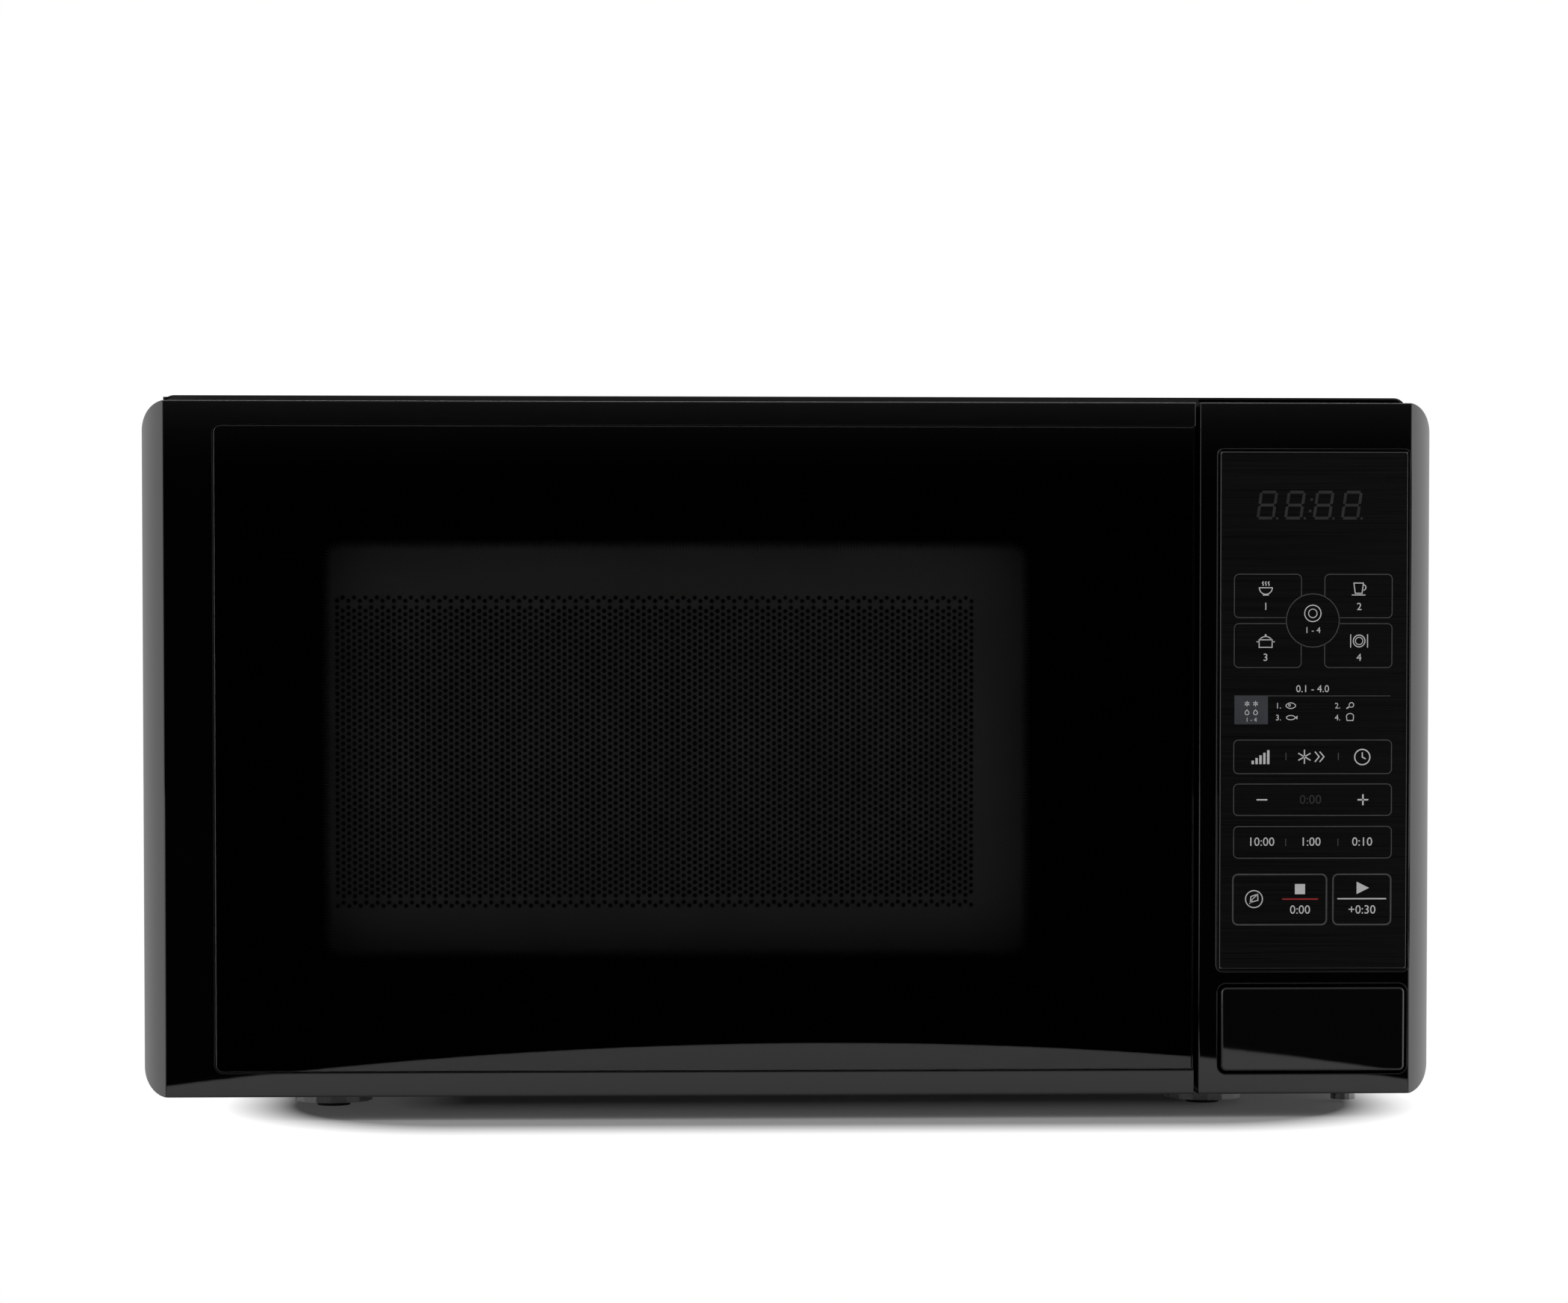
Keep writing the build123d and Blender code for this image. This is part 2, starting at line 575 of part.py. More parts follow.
# Latch spring: seated between the bar's top and a ledge of the door frame
with BuildPart() as latch_spring:
    with BuildSketch(level(LATCH_BAR_HIGH)):
        with Locations((HOOK_X, LATCH_BACK - LATCH_BAR[1] / 2)):
            hidden_round(LATCH_SPRING_RADII[0])
            hidden_round(LATCH_SPRING_RADII[1], mode=Mode.SUBTRACT)
    extrude(amount=LATCH_SPRING_LENGTH)

# Latch guide: a rail along the frame's right wall, with a ledge for the spring above the bar
GUIDE_FRONT = LATCH_BACK - LATCH_BAR[1] - LATCH_GUIDE_LIP
GUIDE_LOW = LATCH_BAR_LOW + LATCH_GUIDE_RISE
LEDGE_LOW = LATCH_BAR_HIGH + LATCH_SPRING_LENGTH
with BuildPart() as latch_guide:
    with BuildSketch(level(LEDGE_LOW)):
        rectangle_between((HOOK_X - LATCH_BAR[0] / 2 - LATCH_GUIDE_LIP, GUIDE_FRONT),
                          (HOLLOW_RIGHT, COVER_FRONT))
    extrude(amount=LATCH_GUIDE_SHEET)
    with BuildSketch(level(GUIDE_LOW)):
        rectangle_between((HOOK_X + LATCH_BAR[0] / 2 + LATCH_PLAY, GUIDE_FRONT), (HOLLOW_RIGHT, COVER_FRONT))
    extrude(amount=LEDGE_LOW + LATCH_GUIDE_SHEET - GUIDE_LOW)

# Control panel: a moulded shell with a recess for the keypad, a hole for the button, and ribs behind
with BuildPart() as control_panel:
    with BuildSketch(facing_front(PANEL_BACK)):
        with Locations((0, MOULDING_MID)):
            RectangleRounded(WIDTH, MOULDING_HEIGHT, OUTLINE_RADIUS)
    extrude(amount=PANEL_BACK - FACE)
    crease, crown, slant_end = slanted_side(RIGHT, -1)
    with BuildSketch(level(MOULDING_LOW)):
        with BuildLine():
            ThreePointArc(crease, crown, slant_end)
            Polyline(slant_end, (RIGHT, PANEL_BACK), (PANEL_LEFT, PANEL_BACK),
                     (PANEL_LEFT, FACE), crease)
        make_face()
    extrude(amount=MOULDING_HEIGHT, mode=Mode.INTERSECT)
    fillet(control_panel.faces().sort_by(Axis.Y)[0].edges(), EDGE_RADIUS)
    with BuildSketch(facing_front(PANEL_BACK)):
        rectangle_between((PANEL_LEFT + MOULDING_WALL, HOLLOW_LOW), (RIGHT - PANEL_SIDE, HOLLOW_HIGH))
    extrude(amount=PANEL_BACK - FACE - PANEL_WALL, mode=Mode.SUBTRACT)
    with BuildSketch(facing_front(MEMBRANE_BACK)):
        with Locations(FILM_CENTRE):
            RectangleRounded(*[side + 2 * FILM_GROOVE for side in FILM_SIZE], FILM_CORNER + FILM_GROOVE)
    extrude(amount=MEMBRANE_BACK - FACE, mode=Mode.SUBTRACT)
    with BuildSketch(facing_front(FACE + PANEL_WALL)):
        with Locations(DISPLAY_CENTRE):
            Rectangle(*DISPLAY_HOLE)
        with Locations(BUTTON_CENTRE):
            RectangleRounded(*[side + 2 * BUTTON_GAP for side in BUTTON_SIZE], BUTTON_CORNER + BUTTON_GAP)
    extrude(amount=PANEL_WALL, mode=Mode.SUBTRACT)
    chamfer(control_panel.faces().sort_by(Axis.Y)[0].inner_wires().edges(), RIM_CHAMFER)
    post_front = FACE + PANEL_WALL
    with BuildSketch(facing_front(post_front + PANEL_RIB[1])):
        for rib_height in PANEL_RIB_HEIGHTS:
            rectangle_between((PANEL_LEFT + MOULDING_WALL, rib_height - PANEL_RIB[0] / 2),
                              (RIGHT - PANEL_SIDE, rib_height + PANEL_RIB[0] / 2))
    extrude(amount=PANEL_RIB[1])
    post_pitch = [side - 2 * inset for side, inset in zip(BOARD_SIZE, BOARD_POST_INSET)]
    with BuildSketch(facing_front(FACE + BOARD_SETBACK)):
        with Locations((FILM_CENTRE[0], BOARD_CENTRE_Z)):
            with GridLocations(*post_pitch, 2, 2):
                Rectangle(BOARD_POST, BOARD_POST)
    extrude(amount=FACE + BOARD_SETBACK - post_front)

# Keypad film and the switch membrane under it
with BuildPart() as keypad_film:
    with BuildSketch(facing_front(FILM_BACK)):
        with Locations(FILM_CENTRE):
            RectangleRounded(*FILM_SIZE, FILM_CORNER)
    extrude(amount=FILM_THICKNESS)
    chamfer(keypad_film.faces().sort_by(Axis.Y)[0].edges(), FILM_CHAMFER)

with BuildPart() as keypad_membrane:
    with BuildSketch(facing_front(MEMBRANE_BACK)):
        with Locations(FILM_CENTRE):
            Rectangle(*FILM_SIZE)
        with Locations(DISPLAY_CENTRE):
            Rectangle(*DISPLAY_HOLE, mode=Mode.SUBTRACT)
    extrude(amount=FILM_THICKNESS)

# Display module: a block that stands on the board and fills the display hole
with BuildPart() as display_module:
    with BuildSketch(facing_front(FACE + BOARD_SETBACK)):
        with Locations(DISPLAY_CENTRE):
            Rectangle(*[side - 2 * DISPLAY_CLEAR for side in DISPLAY_HOLE])
    extrude(amount=FACE + BOARD_SETBACK - FILM_BACK)

# Control board and what stands on its back
with BuildPart() as control_board:
    with BuildSketch(facing_front(FACE + BOARD_SETBACK + BOARD_THICKNESS)):
        with Locations((FILM_CENTRE[0], BOARD_CENTRE_Z)):
            Rectangle(*BOARD_SIZE)
    extrude(amount=BOARD_THICKNESS)

BOARD_BACK = FACE + BOARD_SETBACK + BOARD_THICKNESS
with BuildPart() as board_components:
    for place, size, height in BOARD_PARTS:
        with BuildSketch(facing_front(BOARD_BACK + height)):
            with Locations(place):
                Rectangle(*size)
        extrude(amount=height)

# Release button: a hollow key, its face leaning out a little at the top, with a push leg
BUTTON_BACK = FRONT + BUTTON_DEPTH
LEG_TIP = LEVER_PIVOT[0] - LEVER_ARM - LEG_CLEAR
with BuildPart() as release_button:
    with BuildSketch(facing_front(BUTTON_BACK)):
        with Locations(BUTTON_CENTRE):
            RectangleRounded(*BUTTON_SIZE, BUTTON_CORNER)
    extrude(amount=BUTTON_DEPTH)
    button_top = BUTTON_CENTRE[1] + BUTTON_SIZE[1] / 2
    button_low = BUTTON_CENTRE[1] - BUTTON_SIZE[1] / 2
    with BuildSketch(facing_right(BUTTON_CENTRE[0] - BUTTON_SIZE[0] / 2)):
        with BuildLine():
            Polyline((FACE - BUTTON_LOW_PROUD, button_low), (FRONT, button_top), (BUTTON_BACK, button_top),
                     (BUTTON_BACK, button_low), close=True)
        make_face()
    extrude(amount=BUTTON_SIZE[0], mode=Mode.INTERSECT)
    chamfer(release_button.faces().sort_by(Axis.Y)[0].edges(), BUTTON_CHAMFER)
    with BuildSketch(facing_front(BUTTON_BACK)):
        with Locations(BUTTON_CENTRE):
            Rectangle(*[side - 2 * BUTTON_WALL for side in BUTTON_SIZE])
    extrude(amount=BUTTON_DEPTH - BUTTON_FACE_WALL, mode=Mode.SUBTRACT)
    leg_z = LEVER_PIVOT[1] - LEVER_LEG_DROP
    leg_root = FRONT + BUTTON_FACE_WALL - LEG_SINK
    with BuildSketch(facing_right(LEG_X - LEG_WIDTH / 2)):
        rectangle_between((leg_root, leg_z - LEG_NOSE), (LEG_TIP - LEG_NOSE, leg_z + LEG_NOSE))
        with Locations((LEG_TIP - LEG_NOSE, leg_z)):
            Circle(LEG_NOSE)
    extrude(amount=LEG_WIDTH)

# Release lever: a cross shaft with one arm down to the button's leg and one arm under the hook
with BuildPart() as release_lever:
    pivot_y, pivot_z = LEVER_PIVOT
    with BuildSketch(facing_right(LEVER_LEFT)):
        with Locations(LEVER_PIVOT):
            Circle(LEVER_SHAFT)
    extrude(amount=LEVER_LENGTH)
    with BuildSketch(facing_right(HOOK_X - LATCH_BAR[0] / 2)):
        with BuildLine():
            tip_y = pivot_y + LEVER_TIP[0]
            tip_z = pivot_z + LEVER_TIP[1]
            seat_y = pivot_y + LEVER_SPRING_Y + LEVER_SPRING_SEAT
            Polyline((pivot_y - LEVER_ARM, pivot_z), (pivot_y, pivot_z + 2 * LEVER_ARM),
                     (tip_y - LEVER_TIP_LAND, tip_z), (tip_y + LEVER_TIP_LAND, tip_z),
                     (tip_y + LEVER_TIP_LAND, tip_z - 2 * LEVER_TIP_LAND),
                     (seat_y, pivot_z - LEVER_TIP_LAND / 2), (seat_y, pivot_z - LEVER_ARM),
                     (pivot_y - LEVER_ARM, pivot_z - LEVER_ARM), close=True)
        make_face()
    extrude(amount=LATCH_BAR[0])
    with BuildSketch(facing_right(LEG_X - LEG_WIDTH)):
        rectangle_between((pivot_y - LEVER_ARM, pivot_z - LEVER_LEG_DROP - 3 * LEG_NOSE),
                          (pivot_y + LEVER_ARM, pivot_z + LEVER_ARM))
    extrude(amount=LEVER_LEFT + LEVER_LENGTH - LEG_X + LEG_WIDTH)

# Latch board: guides the hooks, carries the lever and holds the door switches
LATCH_BOARD_BACK = PLATE_BACK + LATCH_BOARD_SHEET
LEVER_SHELF_TOP = LEVER_PIVOT[1] - LEVER_ARM - LEVER_SPRING_LENGTH
LATCH_BOARD_LOW = LEVER_SHELF_TOP - LATCH_SHELF
with BuildPart() as latch_board:
    with BuildSketch(facing_front(LATCH_BOARD_BACK)):
        rectangle_between((LATCH_BOARD_SIDES[0], LATCH_BOARD_LOW), (LATCH_BOARD_SIDES[1], LATCH_BOARD_TOP))
        for hook_low in HOOK_HEIGHTS:
            with Locations((HOOK_X, hook_low + HOOK_HEIGHT / 2)):
                Rectangle(*LATCH_SLOT, mode=Mode.SUBTRACT)
    extrude(amount=LATCH_BOARD_SHEET)
    for ear_low, ear_high in LATCH_EARS:
        with BuildSketch(facing_right(ear_low)):
            rectangle_between((LATCH_BOARD_BACK, LATCH_BOARD_LOW),
                              (pivot_y + LATCH_EAR_MARGIN, pivot_z + LATCH_EAR_MARGIN))
            with Locations(LEVER_PIVOT):
                Circle(LEVER_SHAFT + LEVER_FIT, mode=Mode.SUBTRACT)
        extrude(amount=ear_high - ear_low)
    with BuildSketch(level(LATCH_BOARD_LOW)):
        rectangle_between((LATCH_EARS[0][0], LATCH_BOARD_BACK),
                          (LATCH_EARS[1][1], pivot_y + LEVER_SPRING_Y + 2 * LATCH_SHELF))
    extrude(amount=LATCH_SHELF)
    with BuildSketch(facing_right(LATCH_EARS[1][0])):
        rectangle_between((LATCH_BOARD_BACK, pivot_z + LATCH_EAR_MARGIN), LATCH_FIN)
    extrude(amount=LATCH_EARS[1][1] - LATCH_EARS[1][0])

# Lever spring: holds the lever's rear arm down on a shelf of the latch board
with BuildPart() as lever_spring:
    with BuildSketch(level(LEVER_SHELF_TOP)):
        with Locations((HOOK_X, pivot_y + LEVER_SPRING_Y)):
            hidden_round(LEVER_SPRING_RADII[0])
            hidden_round(LEVER_SPRING_RADII[1], mode=Mode.SUBTRACT)
    extrude(amount=LEVER_SPRING_LENGTH)

# Door switches: three bodies with their plungers, behind the hooks
SWITCH_FRONT = MOULDING_BACK + HOOK_REACH + SWITCH_CLEAR
with BuildPart() as door_switches:
    for switch_x, hook_low in SWITCH_PLACES:
        switch_low = hook_low - SWITCH_DROP
        with BuildSketch(facing_right(switch_x)):
            rectangle_between((SWITCH_FRONT, switch_low),
                              (SWITCH_FRONT + SWITCH_SIZE[1], switch_low + SWITCH_SIZE[2]))
        extrude(amount=SWITCH_SIZE[0])
        with BuildSketch(facing_front(SWITCH_FRONT)):
            with Locations((switch_x + PLUNGER_PLACE[0], switch_low + PLUNGER_PLACE[1])):
                Rectangle(*PLUNGER_SIZE)
        extrude(amount=PLUNGER_REACH)

# Front plate: carries the seal face round the oven's mouth, with slots for the hooks
with BuildPart() as front_plate:
    with BuildSketch(facing_front(PLATE_BACK)):
        rectangle_between((-COVER_INNER, BASE_TOP), (PLATE_RIGHT, HEIGHT - COVER_SHEET))
        with Locations(CAVITY_CENTRE):
            RectangleRounded(*CAVITY_SIZE, CAVITY_CORNER, mode=Mode.SUBTRACT)
        for hook_low in HOOK_HEIGHTS:
            with Locations((HOOK_X, hook_low + HOOK_HEIGHT / 2)):
                Rectangle(*LATCH_SLOT, mode=Mode.SUBTRACT)
        for notch_low in (BASE_TOP - 1, MOULDING_HIGH - HINGE_STEP - HINGE_PLATE - 1):
            rectangle_between((-COVER_INNER - 1, notch_low),
                              (HINGE_X + PLATE_NOTCH[0], notch_low + PLATE_NOTCH[1]), mode=Mode.SUBTRACT)
    extrude(amount=SHEET)

# Oven cavity: a drawn box with a sunk track for the rollers, vents and the waveguide port
with BuildPart() as oven_cavity:
    with BuildSketch(facing_front(CAVITY_BACK + SHEET)):
        with Locations(CAVITY_CENTRE):
            RectangleRounded(*[side + 2 * SHEET for side in CAVITY_SIZE], CAVITY_CORNER + SHEET)
    extrude(amount=CAVITY_DEPTH + SHEET)
    with BuildSketch(facing_front(CAVITY_BACK)):
        with Locations(CAVITY_CENTRE):
            RectangleRounded(*CAVITY_SIZE, CAVITY_CORNER)
    extrude(amount=CAVITY_DEPTH, mode=Mode.SUBTRACT)
    with BuildSketch(level(TRACK_TOP - SHEET)):
        with Locations((TURN_X, TURN_Y)):
            RegularPolygon(TRACK_RADIUS + SHEET, HIDDEN_SIDES, major_radius=False)
    extrude(amount=CAVITY_FLOOR - TRACK_TOP)
    with BuildSketch(level(TRACK_TOP)):
        with Locations((TURN_X, TURN_Y)):
            Circle(TRACK_RADIUS)
    extrude(amount=TRACK_SINK, mode=Mode.SUBTRACT)
    with BuildSketch(level(TRACK_TOP - SHEET)):
        with Locations((TURN_X, TURN_Y)):
            hidden_round(SHAFT_HOLE)
    extrude(amount=SHEET, mode=Mode.SUBTRACT)
    with BuildSketch(facing_right(CAVITY_RIGHT)):
        with Locations(PORT_CENTRE):
            Rectangle(*PORT_SIZE)
        with Locations(LAMP):
            with GridLocations(VENT_PITCH, VENT_PITCH, 4, 3):
                RegularPolygon(VENT_RADIUS, 4)
    extrude(amount=SHEET, mode=Mode.SUBTRACT)
    with BuildSketch(facing_right(CAVITY_LEFT - SHEET)):
        with Locations(EXHAUST):
            with GridLocations(VENT_PITCH, VENT_PITCH, 5, 3):
                RegularPolygon(VENT_RADIUS, 4)
    extrude(amount=SHEET, mode=Mode.SUBTRACT)

# Waveguide, and the mica sheet that covers its port inside the oven
with BuildPart() as waveguide:
    with BuildSketch(facing_right(WALL_RIGHT)):
        with Locations(WAVEGUIDE_CENTRE):
            Rectangle(*WAVEGUIDE_SIZE)
    extrude(amount=WAVEGUIDE_DEPTH)
    with BuildSketch(facing_right(WALL_RIGHT)):
        with Locations(WAVEGUIDE_CENTRE):
            Rectangle(*[side - 2 * SHEET for side in WAVEGUIDE_SIZE])
    extrude(amount=WAVEGUIDE_DEPTH - SHEET, mode=Mode.SUBTRACT)
    with BuildSketch(facing_right(SEAT_X - SHEET)):
        with Locations(MAGNETRON_AXIS):
            hidden_round(ANTENNA_HOLE + 1)
    extrude(amount=SHEET, mode=Mode.SUBTRACT)

with BuildPart() as waveguide_cover:
    with BuildSketch(facing_right(CAVITY_RIGHT - MICA_SHEET)) as mica:
        with Locations(PORT_CENTRE):
            Rectangle(*MICA_SIZE)
        chamfer(mica.vertices(), MICA_CORNER)
    extrude(amount=MICA_SHEET)

# Magnetron: antenna, anode and magnets on one axis, cooling fins, steel yoke and filter box
with BuildPart() as magnetron_core:
    for step_low, step_high, radius in MAGNETRON_STEPS:
        with BuildSketch(facing_right(SEAT_X + step_low)):
            with Locations(MAGNETRON_AXIS):
                hidden_round(radius)
        extrude(amount=step_high - step_low)

with BuildPart() as magnetron_fins:
    for index in range(FIN_COUNT):
        with BuildSketch(facing_right(SEAT_X + FIN_FIRST + FIN_PITCH * index)):
            with Locations(MAGNETRON_AXIS):
                Rectangle(YOKE_SIZE[0] - 2 * FIN_INSET, YOKE_SIZE[1] - 2 * YOKE_SHEET)
                RegularPolygon(ANODE_RADIUS, 8, major_radius=False, mode=Mode.SUBTRACT)
        extrude(amount=FIN_SHEET)

with BuildPart() as magnetron_yoke:
    with BuildSketch(facing_front(MAGNETRON_AXIS[0])):
        with Locations((SEAT_X + YOKE_DEPTH / 2, MAGNETRON_AXIS[1])):
            Rectangle(YOKE_DEPTH, YOKE_SIZE[1])
            Rectangle(YOKE_DEPTH - 2 * YOKE_SHEET, YOKE_SIZE[1] - 2 * YOKE_SHEET, mode=Mode.SUBTRACT)
    extrude(amount=YOKE_SIZE[0] / 2, both=True)
    with BuildSketch(facing_right(SEAT_X)):
        with Locations(MAGNETRON_AXIS):
            hidden_round(ANTENNA_HOLE)
    extrude(amount=YOKE_SHEET, mode=Mode.SUBTRACT)

FILTER_X = SEAT_X + YOKE_DEPTH
with BuildPart() as magnetron_filter_box:
    with BuildSketch(facing_right(FILTER_X)):
        with Locations(MAGNETRON_AXIS):
            ring_wall(FILTER_BOX, FILTER_SHEET)
    extrude(amount=FILTER_DEPTH)
    with BuildSketch(facing_right(FILTER_X + FILTER_DEPTH - FILTER_SHEET)):
        with Locations(MAGNETRON_AXIS):
            Rectangle(*FILTER_BOX)
    extrude(amount=FILTER_SHEET)
    with BuildSketch(facing_right(FILTER_X + FEEDTHROUGH_START)):
        with Locations((MAGNETRON_AXIS[0] - (FILTER_BOX[0] + FEEDTHROUGH[0]) / 2, MAGNETRON_AXIS[1])):
            Rectangle(*FEEDTHROUGH)
    extrude(amount=FEEDTHROUGH_LENGTH)

# Transformer: laminated core on a foot plate, with its two windings
CORE_LOW = BASE_TOP + CORE_FOOT[2]
with BuildPart() as transformer_core:
    with BuildSketch(level(BASE_TOP)):
        with Locations(TRANSFORMER):
            Rectangle(*CORE_FOOT[:2])
    extrude(amount=CORE_FOOT[2])
    with BuildSketch(facing_front(TRANSFORMER[1] + CORE_SIZE[1] / 2)):
        with Locations((TRANSFORMER[0], CORE_LOW + CORE_SIZE[2] / 2)):
            Rectangle(CORE_SIZE[0], CORE_SIZE[2])
            with Locations((-CORE_WINDOW_SHIFT, 0), (CORE_WINDOW_SHIFT, 0)):
                Rectangle(*CORE_WINDOW, mode=Mode.SUBTRACT)
    extrude(amount=CORE_SIZE[1])

with BuildPart() as transformer_windings:
    for lift in WINDING_LIFTS:
        with BuildSketch(level(CORE_LOW + lift)) as winding:
            with Locations(TRANSFORMER):
                Rectangle(*WINDING_SIZE)
                chamfer(winding.vertices(), WINDING_CORNER)
                Rectangle(WINDING_LIMB, CORE_SIZE[1], mode=Mode.SUBTRACT)
        extrude(amount=WINDING_HEIGHT)

# Capacitor in its clamp, and the diode that bridges it to the base
CAN_AXIS = (CAPACITOR[0], BASE_TOP + CLAMP_SHEET + CAN_SIZE[1] / 2)
with BuildPart() as capacitor:
    with BuildSketch(facing_front(CAPACITOR[1] + CAN_LENGTH / 2)) as can_outline:
        with Locations(CAN_AXIS):
            Rectangle(*CAN_SIZE)
        chamfer(can_outline.vertices(), CAN_CORNER)
    extrude(amount=CAN_LENGTH)
    with BuildSketch(facing_front(CAPACITOR[1] - CAN_LENGTH / 2)):
        with Locations(CAN_AXIS):
            with GridLocations(2 * TERMINAL_SHIFT, 0, 2, 1):
                Rectangle(*TERMINAL)
    extrude(amount=TERMINAL_REACH)

with BuildPart() as capacitor_clamp:
    with BuildSketch(facing_front(CAPACITOR[1] + CLAMP_WIDTH / 2)):
        with Locations((CAPACITOR[0], BASE_TOP + CLAMP_SHEET / 2)):
            Rectangle(CLAMP_FOOT, CLAMP_SHEET)
        with Locations(CAN_AXIS):
            Rectangle(*[side + 2 * CLAMP_SHEET for side in CAN_SIZE])
            Rectangle(*CAN_SIZE, mode=Mode.SUBTRACT)
    extrude(amount=CLAMP_WIDTH)

with BuildPart() as high_voltage_diode:
    with BuildSketch(facing_front(CAPACITOR[1] + DIODE_SHIFT[1])):
        with Locations((CAPACITOR[0] + DIODE_SHIFT[0], BASE_TOP + DIODE_SIZE[0] / 2)):
            Rectangle(DIODE_SIZE[0], DIODE_SIZE[0])
    extrude(amount=DIODE_SIZE[1])

# Cooling fan: shroud with its ring and motor arms, motor, shaft and pitched blades
RING_BACK = SHROUD_Y + SHROUD_DEPTH
MOTOR_BACK = BACK_PLATE_Y - FAN_MOTOR_CLEAR
RING_RADIUS = FAN_RADIUS + SHROUD_CLEAR
with BuildPart() as fan_shroud:
    with BuildSketch(facing_front(SHROUD_Y + SHROUD_SHEET)):
        rectangle_between((WALL_RIGHT, SHROUD_SPAN[0]), (COVER_INNER, SHROUD_SPAN[1]))
        with Locations(FAN_CENTRE):
            hidden_round(RING_RADIUS, mode=Mode.SUBTRACT)
    extrude(amount=SHROUD_SHEET)
    with BuildSketch(facing_front(RING_BACK)):
        with Locations(FAN_CENTRE):
            hidden_round(RING_RADIUS + SHROUD_SHEET)
            hidden_round(RING_RADIUS, mode=Mode.SUBTRACT)
    extrude(amount=SHROUD_DEPTH)
    with BuildSketch(facing_front(RING_BACK)):
        with Locations(FAN_CENTRE):
            Rectangle(2 * RING_RADIUS + SHROUD_SHEET, SHROUD_ARM)
            Rectangle(SHROUD_ARM_HOLE, SHROUD_ARM_HOLE, mode=Mode.SUBTRACT)
    extrude(amount=SHROUD_SHEET)

with BuildPart() as fan_motor:
    with BuildSketch(facing_front(MOTOR_BACK)):
        with Locations(FAN_CENTRE):
            Rectangle(*FAN_MOTOR)
            Circle(FAN_SHAFT_RADIUS + FAN_FIT, mode=Mode.SUBTRACT)
    extrude(amount=MOTOR_BACK - RING_BACK)

with BuildPart() as fan_shaft:
    with BuildSketch(facing_front(MOTOR_BACK - FAN_SHAFT_INSET)):
        with Locations(FAN_CENTRE):
            Circle(FAN_SHAFT_RADIUS)
    extrude(amount=MOTOR_BACK - FAN_SHAFT_INSET - SHROUD_Y - FAN_SHAFT_FRONT)

with BuildPart() as blade:
    pitched = (0, -sin(radians(FAN_PITCH)), cos(radians(FAN_PITCH)))
    root_half, tip_half = [chord / 2 for chord in FAN_CHORDS]
    with BuildSketch(Plane(origin=(0, 0, 0), x_dir=(1, 0, 0), z_dir=pitched)):
        with BuildLine():
            Polyline((FAN_HUB - FAN_ROOT_SINK, -root_half), (FAN_RADIUS, -tip_half),
                     (FAN_RADIUS, tip_half), (FAN_HUB - FAN_ROOT_SINK, root_half), close=True)
        make_face()
    extrude(amount=FAN_BLADE_SHEET / 2, both=True)

FAN_Y = SHROUD_Y + SHROUD_DEPTH / 2
with BuildPart(upright(FAN_CENTRE[0], FAN_Y, FAN_CENTRE[1])) as fan_blade:
    with BuildSketch(upright(FAN_CENTRE[0], FAN_Y + FAN_HUB_LENGTH / 2, FAN_CENTRE[1])):
        hidden_round(FAN_HUB)
    extrude(amount=FAN_HUB_LENGTH)
    with PolarLocations(0, FAN_BLADES):
        add(blade.part)
    Cylinder(FAN_SHAFT_RADIUS, 2 * FAN_HUB_LENGTH, mode=Mode.SUBTRACT)

# Turntable motor and drive shaft under the oven's floor, coupler above it
MOTOR_TOP = TRACK_TOP - SHEET
MOTOR_LOW = BASE_TOP + TURN_MOTOR_LIFT
with BuildPart() as turntable_motor:
    with BuildSketch(level(MOTOR_LOW)):
        with Locations((TURN_X, TURN_Y)):
            hidden_round(TURN_MOTOR_RADIUS)
            Rectangle(2 * TURN_MOTOR_RADIUS + 2, 2 * TURN_MOTOR_FLAT, mode=Mode.INTERSECT)
            Circle(SHAFT_RADIUS + SHAFT_FIT, mode=Mode.SUBTRACT)
    extrude(amount=MOTOR_TOP - MOTOR_LOW)
    with BuildSketch(level(MOTOR_TOP - TURN_MOTOR_LUG_SHEET)):
        with Locations((TURN_X, TURN_Y)):
            Rectangle(*TURN_MOTOR_LUGS)
            Circle(SHAFT_RADIUS + SHAFT_FIT, mode=Mode.SUBTRACT)
    extrude(amount=TURN_MOTOR_LUG_SHEET)

with BuildPart() as drive_shaft:
    with BuildSketch(level(BASE_TOP + SHAFT_FOOT)):
        with Locations((TURN_X, TURN_Y)):
            Circle(SHAFT_RADIUS)
    extrude(amount=ROLLER_Z - BASE_TOP - SHAFT_FOOT)

COUPLER_LOW = TRACK_TOP + COUPLER_LIFT
COUPLER_TOP = TRAY_LOW - COUPLER_CLEAR
with BuildPart() as turntable_coupler:
    with BuildSketch(level(COUPLER_LOW)):
        with Locations((TURN_X, TURN_Y)):
            hidden_round(COUPLER_HUB)
    extrude(amount=COUPLER_TOP - COUPLER_LOW)
    with BuildSketch(level(COUPLER_TOP - COUPLER_THICKNESS)):
        with Locations((TURN_X, TURN_Y)):
            with PolarLocations(COUPLER_REACH / 2, 3):
                Rectangle(COUPLER_REACH, COUPLER_ARM)
    extrude(amount=COUPLER_THICKNESS)
    with BuildSketch(level(COUPLER_LOW)):
        with Locations((TURN_X, TURN_Y)):
            Circle(SHAFT_RADIUS)
    extrude(amount=ROLLER_Z - COUPLER_LOW, mode=Mode.SUBTRACT)

